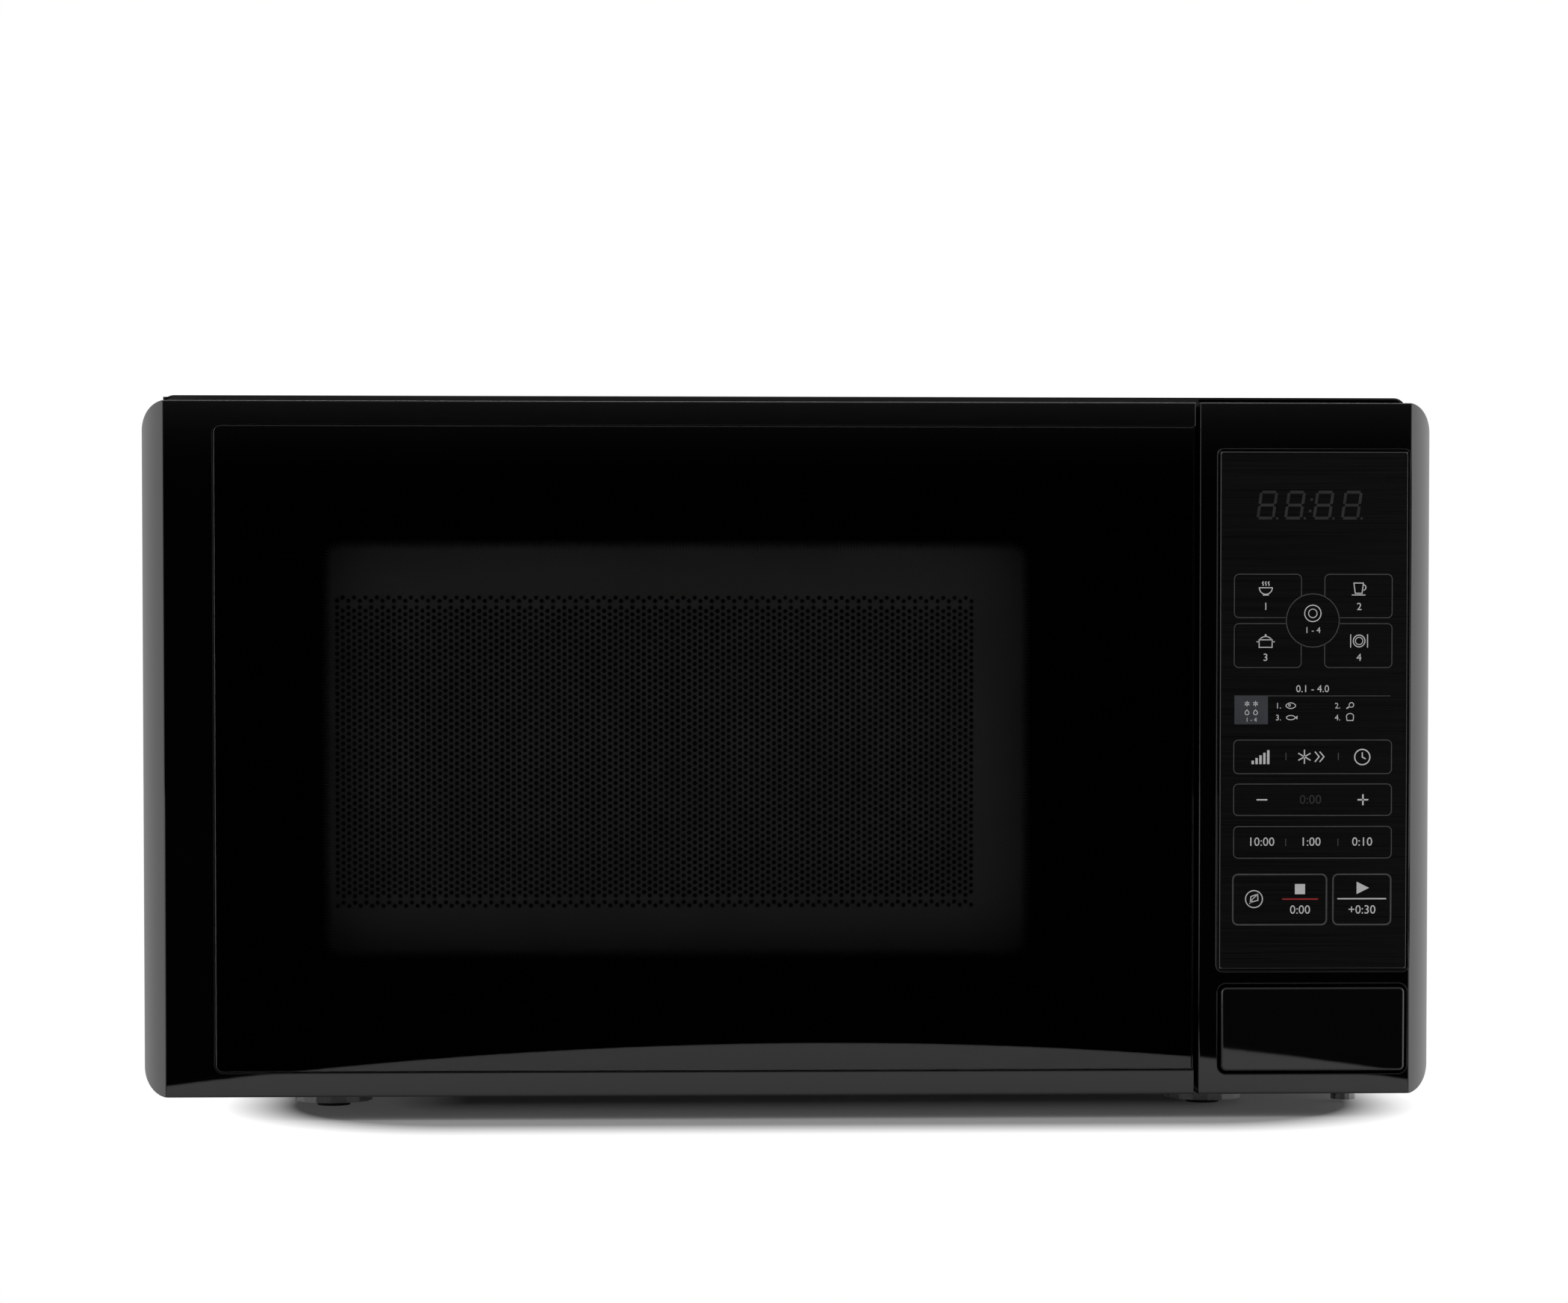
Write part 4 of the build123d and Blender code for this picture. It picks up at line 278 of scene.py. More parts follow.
def mirrored_room(tree, ways, back):
    """What gloss shows: a dark front with a glow over it, white sides, a grey ceiling."""
    light = ramp(tree, back, (0.0, grey(MIRRORED_FRONT)), (1.0, grey(MIRRORED_SIDES)))
    overhead = spread(tree, ways["Z"], 0.0, 1.0, **CEILING_RISE)
    light = mix_colours(tree, overhead, light, grey(MIRRORED_CEILING))
    glow = calc(tree, "POWER", spread(tree, ways["Z"], 0.0, 1.0, **GLOW_RISE), GLOW_POWER)
    light = calc_vector(tree, "ADD", spread(tree, glow, 0.0, MIRRORED_GLOW, 0.0, 1.0), light)
    behind = spread(tree, ways["Y"], 0.0, 1.0, **WALL_RISE)
    between = spread(tree, calc(tree, "ABSOLUTE", ways["X"]), 1.0, 0.0, **WALL_RISE)
    wall = calc(tree, "MULTIPLY", behind, between)
    return mix_colours(tree, wall, light, grey(MIRRORED_WALL))


def add_room():
    room = bpy.data.worlds.new("room")
    scene.world = room
    room.use_nodes = True
    room.cycles.sampling_method = "NONE"
    tree = room.node_tree
    rays = add_node(tree, "LightPath").outputs
    toward = add_node(tree, "TexCoord").outputs["Generated"]
    ways = add_node(tree, "SeparateXYZ", {0: toward}).outputs
    back = spread(tree, ways["Y"], 0.0, 1.0, **FRONT_TO_SIDES)
    soft = ramp(tree, back, (0.0, grey(ROOM_FRONT)), (1.0, grey(ROOM_WHITE)))
    gloss_or_glass = calc(tree, "MAXIMUM", rays["Is Glossy Ray"], rays["Is Transmission Ray"])
    lit = mix_colours(tree, gloss_or_glass, soft, mirrored_room(tree, ways, back))
    lit = mix_colours(tree, soft_through_glass(tree, rays), lit, grey(THROUGH_GLASS))
    shown = mix_colours(tree, rays["Is Camera Ray"], lit, grey(1.0))
    tree.links.new(shown, tree.nodes["Background"].inputs["Color"])
    return room


room = add_room()
print("world", room.name)

# %% [markdown]
# ## The lamp
# One wide panel hangs over the back of the oven. A small lamp would cut a hard shadow. The
# panel's is soft, and falls a little toward the camera, under the door.

# %% The lamp
def add_panel(name, location, aim, size, watts):
    """A soft white panel lamp that faces aim."""
    lamp = bpy.data.lights.new(name, "AREA")
    lamp.shape = "RECTANGLE"
    lamp.size, lamp.size_y = size
    lamp.energy = watts
    panel = bpy.data.objects.new(name, lamp)
    panel.location = location
    panel.rotation_euler = (Vector(aim) - Vector(location)).to_track_quat("-Z", "Y").to_euler()
    scene.collection.objects.link(panel)
    return panel


lamp_above = add_panel("panel_above", location=(0, 0.16, 1.5), aim=(0, 0.16, 0),
                       size=(1.6, 0.34), watts=12.0)
print("lamp", lamp_above.name, lamp_above.data.energy, "W")

# %% [markdown]
# ## One recipe for most finishes
# Paint, moulded plastic and sheet metal differ in colour and gloss, but each shows the
# same three things up close: patches of slightly different shade, gloss that isn't quite
# even, and a fine surface. One function makes all three from two noises, and each finish
# then only says how strong they are.

# %% A finish with grain
def new_finish(name):
    finish = bpy.data.materials.new(name)
    finish.use_nodes = True
    return finish, finish.node_tree, finish.node_tree.nodes["Principled BSDF"]


def set_sockets(shader, sockets):
    for name, value in sockets.items():
        shader.inputs[name].default_value = value


def add_bump(tree, shader, height, depth, **over):
    made = add_node(tree, "Bump", {"Height": height, "Distance": depth, "Strength": 1.0, **over})
    tree.links.new(made.outputs["Normal"], shader.inputs["Normal"])


def grained(name, dark, light, gloss, patches, grain, depth, stretch=(1, 1, 1), **sockets):
    """Colour from dark to light in patches, roughness over the gloss range, grain as bump."""
    finish, tree, shader = new_finish(name)
    broad = noise(tree, patches, 4.0, stretch)
    fine = noise(tree, grain, 2.0, stretch)
    both = calc(tree, "ADD", broad, fine)
    tint = ramp(tree, spread(tree, both, 0.0, 1.0, 0.7, 1.3), (0.0, dark), (1.0, light))
    tree.links.new(tint, shader.inputs["Base Color"])
    tree.links.new(spread(tree, broad, *gloss), shader.inputs["Roughness"])
    add_bump(tree, shader, fine, depth)
    set_sockets(shader, {key.replace("_", " "): value for key, value in sockets.items()})
    return finish


def dress(finish, *names):
    """Gives the finish to these solids."""
    for name in names:
        mesh = solids[name].data
        mesh.materials.clear()
        mesh.materials.append(finish)
    dressed.update(names)
    print(finish.name, "on", ", ".join(names))


dressed = set()
print("finish recipe ready")

# %% [markdown]
# ## Gloss black mouldings
# The door frame, the control panel and the release button are moulded in black plastic
# from a polished tool. It is almost a mirror, so the base colour is nearly black and the
# look comes from what it reflects. A very shallow ripple, some uneven gloss and a few
# specks of dust keep it from looking like a computer picture. A bevel in the shading
# rounds the edges and dulls them, so that each catches a soft line of light.

# %% The gloss moulding
SPECKS_PER_METRE, SPECK_REACH, SPECK_BAR, SPECK_GREY = 70.0, 0.02, 0.8, 0.3
EDGE_RADIUS, EDGE_ROUGHNESS = 0.5 * MM, 0.4


def gloss_moulding(name, black):
    finish, tree, shader = new_finish(name)
    specks = add_node(tree, "TexVoronoi", {"Vector": place(tree), "Scale": SPECKS_PER_METRE}).outputs
    near = calc(tree, "LESS_THAN", specks["Distance"], SPECK_REACH)
    some = add_node(tree, "SeparateColor", {0: specks["Color"]}).outputs[0]
    dust = calc(tree, "MULTIPLY", near, calc(tree, "GREATER_THAN", some, SPECK_BAR))
    tint = ramp(tree, dust, (0.0, grey(black)), (1.0, grey(SPECK_GREY)))
    tree.links.new(tint, shader.inputs["Base Color"])
    rounded = add_node(tree, "Bevel", {"Radius": EDGE_RADIUS}, samples=6).outputs["Normal"]
    flat = add_node(tree, "NewGeometry").outputs["True Normal"]
    same = calc_vector(tree, "DOT_PRODUCT", rounded, flat, result="Value")
    edge = spread(tree, same, EDGE_ROUGHNESS, 0.0, 0.9, 0.99)
    worn = calc(tree, "MAXIMUM", spread(tree, noise(tree, 14, 4.0), 0.008, 0.03), dust)
    tree.links.new(calc(tree, "MAXIMUM", worn, edge), shader.inputs["Roughness"])
    add_bump(tree, shader, noise(tree, 160, 1.0), 2.5 * MICRON, Normal=rounded)
    set_sockets(shader, {"IOR": 1.55})
    return finish


dress(gloss_moulding("gloss_black_moulding", 0.001), "door_frame", "control_panel")
dress(gloss_moulding("gloss_black_button", 0.0035), "release_button")

# %% [markdown]
# ## Door glass and its ink
# The door's front is a sheet of tinted glass. Black ink on its back hides the frame and
# leaves a window. On the real door the ink is a film a few hundredths of a millimetre
# thick, so here it is a thin sheet with a rounded opening, lying at the back of the glass.

# %% Tinted glass
def tinted_glass():
    finish, tree, shader = new_finish("tinted_door_glass")
    smear = noise(tree, 9, 5.0, (1.0, 1.0, 0.35))
    tree.links.new(spread(tree, smear, 0.0, 0.035, 0.45, 0.75), shader.inputs["Roughness"])
    tint = ramp(tree, noise(tree, 6), (0.3, (0.62, 0.62, 0.61)), (0.7, (0.66, 0.66, 0.65)))
    tree.links.new(tint, shader.inputs["Base Color"])
    set_sockets(shader, {"Transmission Weight": 1.0, "IOR": 1.5})
    return finish


dress(tinted_glass(), "door_glass")

# %% Flat pieces cut from outlines
def link_piece(name, mesh, body, finish):
    """Puts a mesh into the scene as a piece of the oven that rides on a body."""
    piece = bpy.data.objects.new(name, mesh)
    scene.collection.objects.link(piece)
    mesh.materials.append(finish)
    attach(piece, body)
    return piece


def thicken(piece, thickness, offset=-1.0):
    """Turns an open sheet into a closed one of that thickness."""
    skin = piece.modifiers.new("thickness", "SOLIDIFY")
    skin.thickness = thickness
    skin.offset = offset
    skin.use_even_offset = False
    return skin


def rounded_outline(left, low, right, high, radius, steps=6):
    """Points round a rectangle with rounded corners, counter-clockwise from the front."""
    points = []
    corners = ((right - radius, high - radius, 0), (left + radius, high - radius, 90),
               (left + radius, low + radius, 180), (right - radius, low + radius, 270))
    for x, z, start in corners:
        for step in range(steps + 1):
            turn = math.radians(start + 90 * step / steps)
            points.append((x + radius * math.cos(turn), z + radius * math.sin(turn)))
    return points


def dense(points, step=0.3):
    """The same closed outline with more points on its straight runs."""
    filled = []
    for i, point in enumerate(points):
        a, b = Vector(point), Vector(points[(i + 1) % len(points)])
        parts = max(1, int((b - a).length / step))
        filled += [tuple(a.lerp(b, k / parts)) for k in range(parts)]
    return filled


INK_WINDOW, INK_WINDOW_CORNER = (-164.3, 56.3, 85.0, 204.0), 6.0
INK_MARGIN, INK_CORNER = 0.4, 3.0
INK_FADE, INK_TOOTH = 4.0, 0.55
INK_DEPTH, INK_THICKNESS = 0.03 * MM, 0.02 * MM


def add_glass_ink():
    """A ring of ink whose inner edge is a fine comb, so that the print thins out."""
    low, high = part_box("door_glass")
    left, bottom = low.x / MM + INK_MARGIN, low.z / MM + INK_MARGIN
    right, top = high.x / MM - INK_MARGIN, high.z / MM - INK_MARGIN
    outer = rounded_outline(left, bottom, right, top, INK_CORNER)
    inner = dense(rounded_outline(*INK_WINDOW, INK_WINDOW_CORNER), INK_TOOTH)
    back = high.y - INK_DEPTH
    sheet = bmesh.new()
    loops = [[sheet.verts.new((x * MM, back, z * MM)) for x, z in loop] for loop in (outer, inner)]
    edges = [sheet.edges.new((loop[i - 1], loop[i])) for loop in loops for i in range(len(loop))]
    bmesh.ops.triangle_fill(sheet, use_beauty=True, use_dissolve=False, edges=edges)
    for i, end in enumerate(loops[1]):
        start = loops[1][i - 1]
        along = (end.co - start.co).normalized()
        inward = Vector((-along.z, 0, along.x))
        tip = sheet.verts.new((start.co + end.co) / 2 + inward * INK_FADE * MM)
        sheet.faces.new((start, end, tip))
    for face in sheet.faces:
        face.normal_update()
    bmesh.ops.reverse_faces(sheet, faces=[face for face in sheet.faces if face.normal.y > 0])
    mesh = bpy.data.meshes.new("glass_ink")
    sheet.to_mesh(mesh)
    sheet.free()
    ink = grained("black_glass_ink", grey(0.0004), grey(0.0007), gloss=(0.5, 0.65),
                  patches=40, grain=1500, depth=1 * MICRON, Specular_IOR_Level=0.0)
    piece = link_piece("glass_ink", mesh, "door", ink)
    thicken(piece, INK_THICKNESS, 0.0)
    return piece


ink_sheet = add_glass_ink()
print("ink", [round(v / MM, 2) for v in ink_sheet.dimensions], "mm")

# %% [markdown]
# ## The perforated door screen
# Behind the glass a thin steel sheet keeps the microwaves in. It is punched with more
# than five thousand holes in staggered columns. A texture would vanish from the side, so
# the holes are real: each is a hexagon, neighbours are joined edge to edge by a narrow
# bar and three at a time by a small triangle, which is the least mesh that can hold them.
# Three lines near the upper border and three near the lower one stay unpunched.

# %% The punched sheet
COLUMN_PITCH, ROW_PITCH, HOLE_RADIUS = 2.017, 2.36, 0.85
FIELD_LEFT, FIELD_LOW = -162.33, 70.6
COLUMNS, ROWS = 115, 50
UNPUNCHED = (1, 2, 5)
CORNER_TURNS = [math.radians(60 * k) for k in range(6)]


def punched(column, row):
    """Counted in half rows from either end, three lines stay whole."""
    half_rows = 2 * row + column % 2
    return half_rows not in UNPUNCHED and 2 * ROWS - 1 - half_rows not in UNPUNCHED


def holds(column, row):
    return 0 <= column < COLUMNS and 0 <= row < ROWS


def hole_corners(column, row):
    x = FIELD_LEFT + column * COLUMN_PITCH
    z = FIELD_LOW + (row + 0.5 * (column % 2)) * ROW_PITCH
    return [(x + HOLE_RADIUS * math.cos(t), z + HOLE_RADIUS * math.sin(t)) for t in CORNER_TURNS]


def screen_faces():
    """Corner points of the holes, and the faces of the metal between them."""
    points, faces = [], []

    def face(*corners):
        """A face through corners given as column, row and corner of that hole."""
        faces.append([(column * ROWS + row) * len(CORNER_TURNS) + k for column, row, k in corners])

    for column in range(COLUMNS):
        for row in range(ROWS):
            points += hole_corners(column, row)
            here, over = (column, row), (column, row + 1)
            lower, upper = ((column + 1, row + column % 2 - step) for step in (1, 0))
            if not punched(*here):
                face(*((*here, k) for k in range(len(CORNER_TURNS))))
            if holds(*over):
                face((*here, 2), (*here, 1), (*over, 5), (*over, 4))
            if holds(*upper):
                face((*here, 1), (*here, 0), (*upper, 4), (*upper, 3))
            if holds(*lower):
                face((*here, 0), (*here, 5), (*lower, 3), (*lower, 2))
            if holds(*lower) and holds(*upper):
                face((*here, 0), (*lower, 2), (*upper, 4))
            if holds(*over) and holds(*upper):
                face((*here, 1), (*upper, 3), (*over, 5))
    return points, faces


print(sum(punched(c, r) for c in range(COLUMNS) for r in range(ROWS)), "holes to punch")

# %% The sheet's plain border
def outer_loop(rim):
    """The longest loop among the open edges, which is the one round all the holes."""
    unseen, loops = set(rim), []
    while unseen:
        grow, loop = [unseen.pop()], []
        while grow:
            edge = grow.pop()
            loop.append(edge)
            for vert in edge.verts:
                for other in vert.link_edges:
                    if other in unseen:
                        unseen.remove(other)
                        grow.append(other)
        loops.append(loop)
    return max(loops, key=len)


def add_door_screen(finish):
    low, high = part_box("door_screen")
    points, faces = screen_faces()
    mesh = bpy.data.meshes.new("punched_screen")
    mesh.from_pydata([(x * MM, low.y, z * MM) for x, z in points], [], faces)
    sheet = bmesh.new()
    sheet.from_mesh(mesh)
    rim = [e for e in sheet.edges if e.is_boundary]
    outside = outer_loop(rim)
    corners = [sheet.verts.new((x, low.y, z)) for x, z in
               ((low.x, low.z), (high.x, low.z), (high.x, high.z), (low.x, high.z))]
    frame_edges = [sheet.edges.new((corners[k], corners[(k + 1) % 4])) for k in range(4)]
    bmesh.ops.triangle_fill(sheet, use_beauty=True, use_dissolve=False, edges=outside + frame_edges)
    bmesh.ops.recalc_face_normals(sheet, faces=sheet.faces)
    if sum(face.normal.y * face.calc_area() for face in sheet.faces) > 0:
        bmesh.ops.reverse_faces(sheet, faces=sheet.faces)
    sheet.to_mesh(mesh)
    sheet.free()
    piece = link_piece("punched_screen", mesh, "door", finish)
    thicken(piece, high.y - low.y)
    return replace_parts(piece, "door_screen")


screen_enamel = grained("black_screen_enamel", grey(0.072), grey(0.087), gloss=(0.5, 0.65),
                        patches=30, grain=2500, depth=4 * MICRON, Specular_IOR_Level=0.2)
punched_screen = add_door_screen(screen_enamel)
dress(screen_enamel, "choke_frame", "door_screen")
print(len(punched_screen.data.polygons), "faces in the open sheet")

# %% [markdown]
# ## The door's inner side
# A smoked plastic window closes the screen toward the oven, and a black cover hides the
# folded channel round it. The window lets light through by its alpha: a sheet this thin
# hardly bends it, and straight light is quicker to trace. The cover is moulded from a
# lightly textured tool, so it is satin where the front is gloss.

# %% Inner window and covers
def smoked_plastic():
    finish, tree, shader = new_finish("smoked_inner_window")
    tree.links.new(spread(tree, noise(tree, 30), 0.05, 0.16), shader.inputs["Roughness"])
    tint = ramp(tree, noise(tree, 8), (0.3, grey(0.006)), (0.7, grey(0.009)))
    tree.links.new(tint, shader.inputs["Base Color"])
    set_sockets(shader, {"Alpha": 0.6, "IOR": 1.46})
    return finish


dress(smoked_plastic(), "inner_window")
satin_black = grained("satin_black_plastic", grey(0.012), grey(0.02), gloss=(0.34, 0.48),
                      patches=20, grain=1400, depth=12 * MICRON)
dress(satin_black, "choke_cover", "door_latch", "latch_guide", "release_lever", "latch_board")

# %% [markdown]
# ## The key film
# The keys lie under one printed film, brushed sideways in fine lines. Noise stretched
# along the width makes the lines. They change the colour a little and the gloss more,
# which is what makes brushed film shimmer. Every face of the film that doesn't face the
# front, its cut edge, is painted pale: partly the cut film's own colour, partly a painted
# highlight standing for the line of light along its rim.

# %% Brushed film
def brushed_film():
    finish, tree, shader = new_finish("brushed_key_film")
    hairs = noise(tree, 60, 1.0, (0.25, 1.0, 40.0))
    fine = noise(tree, 60, 2.0, (0.3, 1.0, 90.0))
    lines = spread(tree, calc(tree, "ADD", hairs, fine), 0.0, 1.0, 0.7, 1.3)
    facing = add_node(tree, "NewGeometry").outputs["True Normal"]
    front = add_node(tree, "SeparateXYZ", {0: facing}).outputs["Y"]
    # Painted highlight: faces not facing front, the film's cut edge, turn pale grey, partly its own
    # colour and partly a painted line of light.
    cut = spread(tree, front, 0.0, 1.0, -0.95, -0.9)
    face = ramp(tree, lines, (0.0, grey(0.0028)), (1.0, grey(0.0077)))
    tree.links.new(mix_colours(tree, cut, face, grey(0.12)), shader.inputs["Base Color"])
    tree.links.new(spread(tree, lines, 0.26, 0.36, 0.0, 1.0), shader.inputs["Roughness"])
    add_bump(tree, shader, lines, 2 * MICRON)
    set_sockets(shader, {"IOR": 1.5, "Specular IOR Level": 0.1})
    return finish


dress(brushed_film(), "keypad_film")

# %% [markdown]
# ## Print on the film
# The signs are plain: numbers, outlines and small pictures drawn for this lesson, in the
# places and sizes of the printed keys. Each is a ribbon or a filled shape in the film's
# plane, in millimetres, collected by colour and cut as one thin sheet per ink. An image
# would blur up close, and a sheet keeps its edge.

# %% Ribbons, discs and numbers
FILM_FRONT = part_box("keypad_film")[0].y
NUMERAL_SHARE = 0.70


def ribbon(points, width, closed=False):
    """Quads of a line of that width, mitred where it turns."""
    count = len(points)
    sides = []
    for i, point in enumerate(points):
        here = Vector(point)
        before = Vector(points[i - 1]) if i or closed else None
        after = Vector(points[(i + 1) % count]) if i < count - 1 or closed else None
        steps = (here - before if before else None, after - here if after else None)
        ways = [step.normalized() for step in steps if step]
        along = sum(ways, Vector((0, 0))).normalized()
        across = Vector((-along.y, along.x))
        reach = 0.5 * width / max(0.35, along.dot(ways[0]))
        sides.append((here + across * reach, here - across * reach))
    last = count if closed else count - 1
    pairs = [(sides[i], sides[(i + 1) % count]) for i in range(last)]
    return [(start[1], end[1], end[0], start[0]) for start, end in pairs]


def arc(x, z, radius, start=0.0, end=360.0, steps=28):
    """Points along an arc, in degrees counter-clockwise from the right."""
    turns = [math.radians(start + (end - start) * k / steps) for k in range(steps + 1)]
    return [(x + radius * math.cos(t), z + radius * math.sin(t)) for t in turns]


def ring(x, z, radius, width):
    return ribbon(arc(x, z, radius)[:-1], width, closed=True)


def disc(x, z, radius):
    return [arc(x, z, radius, steps=20)[:-1]]


def bar(left, low, right, high):
    return [[(left, low), (right, low), (right, high), (left, high)]]


def numbers(text, x, z, height):
    """Faces of a line of numerals, centred on a point."""
    curve = bpy.data.curves.new("numerals", "FONT")
    curve.body = text
    curve.align_x, curve.align_y = "CENTER", "CENTER"
    curve.size = height / NUMERAL_SHARE
    curve.resolution_u = 3
    written = bpy.data.objects.new("numerals", curve)
    scene.collection.objects.link(written)
    bpy.context.view_layer.update()
    graph = bpy.context.evaluated_depsgraph_get()
    mesh = bpy.data.meshes.new_from_object(written.evaluated_get(graph))
    points = [(x + vertex.co.x, z + vertex.co.y) for vertex in mesh.vertices]
    faces = [[points[v] for v in face.vertices] for face in mesh.polygons]
    bpy.data.objects.remove(written)
    bpy.data.curves.remove(curve)
    bpy.data.meshes.remove(mesh)
    return faces


def add_print(name, shapes, finish, lift=1):
    """One thin sheet of ink from many flat shapes, lying on the film."""
    points, faces = [], []
    for shape in shapes:
        faces.append(range(len(points), len(points) + len(shape)))
        points += [(p[0] * MM, FILM_FRONT - lift * INK_THICKNESS, p[1] * MM) for p in shape]
    mesh = bpy.data.meshes.new(name)
    mesh.from_pydata(points, [], [list(f) for f in faces])
    open_sheet = bmesh.new()
    open_sheet.from_mesh(mesh)
    bmesh.ops.remove_doubles(open_sheet, verts=open_sheet.verts, dist=0.00001 * MM)
    for face in open_sheet.faces:
        face.normal_update()
    bmesh.ops.reverse_faces(open_sheet, faces=[f for f in open_sheet.faces if f.normal.y > 0])
    open_sheet.to_mesh(mesh)
    open_sheet.free()
    piece = link_piece(name, mesh, "cabinet", finish)
    thicken(piece, INK_THICKNESS)
    return piece


print("film front at", round(FILM_FRONT / MM, 2), "mm")

# %% Small pictures
def snowflake(x, z, size, width):
    shapes = []
    for k in range(3):
        turn = math.radians(90 + 60 * k)
        way = Vector((math.cos(turn), math.sin(turn))) * size
        shapes += ribbon([(x - way.x, z - way.y), (x + way.x, z + way.y)], width)
    return shapes


def drop(x, z, size, width):
    points = [(x, z + 1.5 * size)] + arc(x, z, size, 35, -215, 14)
    return ribbon(points, width, closed=True)


def bowl(x, z, size, width):
    shapes = ribbon(arc(x, z, size, 180, 360, 16), width, closed=True)
    foot = z - 1.12 * size
    shapes += ribbon([(x - 0.45 * size, foot), (x + 0.45 * size, foot)], width)
    for side in (-0.45, 0.0, 0.45):
        wave = [(x + size * (side + 0.1 * math.sin(2.4 * k)), z + size * (0.3 + 0.22 * k))
                for k in range(4)]
        shapes += ribbon(wave, width)
    return shapes


def cup(x, z, size, width):
    rim, foot, saucer = z + 0.7 * size, z - 0.8 * size, z - 1.05 * size
    body = [(x - 0.8 * size, rim), (x - 0.6 * size, foot),
            (x + 0.4 * size, foot), (x + 0.6 * size, rim)]
    shapes = ribbon(body, width, closed=True)
    shapes += ribbon(arc(x + 0.55 * size, z + 0.05 * size, 0.42 * size, 75, -80, 12), width)
    return shapes + ribbon([(x - 1.1 * size, saucer), (x + 0.9 * size, saucer)], width)


def pot(x, z, size, width):
    rim, foot = z + 0.3 * size, z - 0.85 * size
    body = [(x - size, rim), (x - size, foot), (x + size, foot), (x + size, rim)]
    shapes = ribbon(body, width, closed=True)
    shapes += ribbon(arc(x, z - 0.35 * size, 1.15 * size, 35, 145, 14), width)
    shapes += disc(x, z + size, 0.16 * size)
    for side in (-1, 1):
        shapes += ribbon([(x + side * size, z), (x + side * 1.4 * size, z)], width)
    return shapes


def plate(x, z, size, width):
    shapes = ring(x, z, 0.8 * size, width) + ring(x, z, 0.5 * size, 0.8 * width)
    for side in (x - 1.15 * size, x + 1.15 * size):
        shapes += ribbon([(side, z - 0.9 * size), (side, z + 0.9 * size)], width)
    return shapes


def clock(x, z, size, width):
    hands = [(x, z + 0.62 * size), (x, z), (x + 0.45 * size, z - 0.25 * size)]
    return ring(x, z, size, width) + ribbon(hands, width)


def power_bars(x, z, size):
    shapes = []
    for k in range(5):
        left = x + (k - 2.5) * 0.55 * size
        shapes += bar(left, z - size, left + 0.34 * size, z - size + (0.5 + 0.37 * k) * size)
    return shapes


def fish(x, z, size, width):
    body = arc(x, z, size, 0, 360, 20)[:-1]
    body = [(x + (p[0] - x) * 1.15, z + (p[1] - z) * 0.55) for p in body]
    end = x + 1.75 * size
    tail = [(x + 1.1 * size, z), (end, z + 0.5 * size), (end, z - 0.5 * size)]
    return ribbon(body, width, closed=True) + [tail]


def loaf(x, z, size, width):
    top = arc(x, z + 0.1 * size, size, 20, 160, 12)
    foot = [(x - 0.8 * size, z - 0.75 * size), (x + 0.8 * size, z - 0.75 * size)]
    return ribbon(top + foot, width, closed=True)


def drumstick(x, z, size, width):
    shapes = ring(x + 0.35 * size, z + 0.2 * size, 0.6 * size, width)
    bone = [(x - 0.05 * size, z - 0.2 * size), (x - 0.95 * size, z - 0.75 * size)]
    return shapes + ribbon(bone, 1.6 * width)


def steak(x, z, size, width):
    turns = [math.radians(18 * k) for k in range(20)]
    edge = [(x + size * (1.1 + 0.18 * math.cos(2 * t)) * math.cos(t), z + 0.75 * size * math.sin(t))
            for t in turns]
    bone = ring(x - 0.35 * size, z + 0.1 * size, 0.25 * size, 0.8 * width)
    return ribbon(edge, width, closed=True) + bone


print("twelve small pictures")

# %% Key outlines
def key_outline(left, low, right, high, width, radius=1.6):
    return ribbon(rounded_outline(left, low, right, high, radius, 5), width, closed=True)


CENTRE_KEY, CENTRE_GAP = (184.07, 175.5, 9.4), 0.1
MENU_KEYS = ((156.3, 176.5, 180.0, 191.75), (188.3, 176.5, 212.15, 191.75),
             (156.3, 158.95, 180.0, 174.4), (188.3, 158.95, 212.15, 174.4))
ROW_KEYS = ((156.25, 121.55, 212.15, 133.4), (156.25, 106.8, 212.2, 117.9),
            (156.3, 91.75, 212.25, 102.9))
BIG_KEYS = ((156.1, 68.25, 189.3, 86.0), (191.6, 68.25, 212.1, 86.0))
FINE_LINE, LINE, BOLD_LINE = 0.3, 0.32, 0.55
PRINT = {"patches": 200, "grain": 4000, "depth": 2 * MICRON}


def outside_centre(points):
    """The points clear of the round centre key, from where the outline leaves it."""
    x, z, radius = CENTRE_KEY
    count = len(points)
    clear = [math.hypot(p[0] - x, p[1] - z) > radius + CENTRE_GAP for p in points]
    start = next(i for i in range(count) if clear[i] and not clear[i - 1])
    turned = [(start + k) % count for k in range(count)]
    return [points[i] for i in turned if clear[i]]


outlines = ring(*CENTRE_KEY, LINE)
for key in MENU_KEYS:
    outlines += ribbon(outside_centre(dense(rounded_outline(*key, 1.6, 5))), FINE_LINE)
for key in ROW_KEYS:
    outlines += key_outline(*key, LINE)
outlines += ribbon([(156.4, 148.95), (211.7, 148.95)], 0.25)
for key in BIG_KEYS:
    outlines += key_outline(*key, BOLD_LINE, 1.8)
for x in (174.75, 193.3):
    for z in (127.6, 97.3):
        outlines += ribbon([(x, z - 1.3), (x, z + 1.3)], FINE_LINE)
grey_print = grained("grey_key_outline", grey(0.056), grey(0.073), gloss=(0.4, 0.5), **PRINT)
add_print("key_outlines", outlines, grey_print)
print(len(outlines), "outline faces")

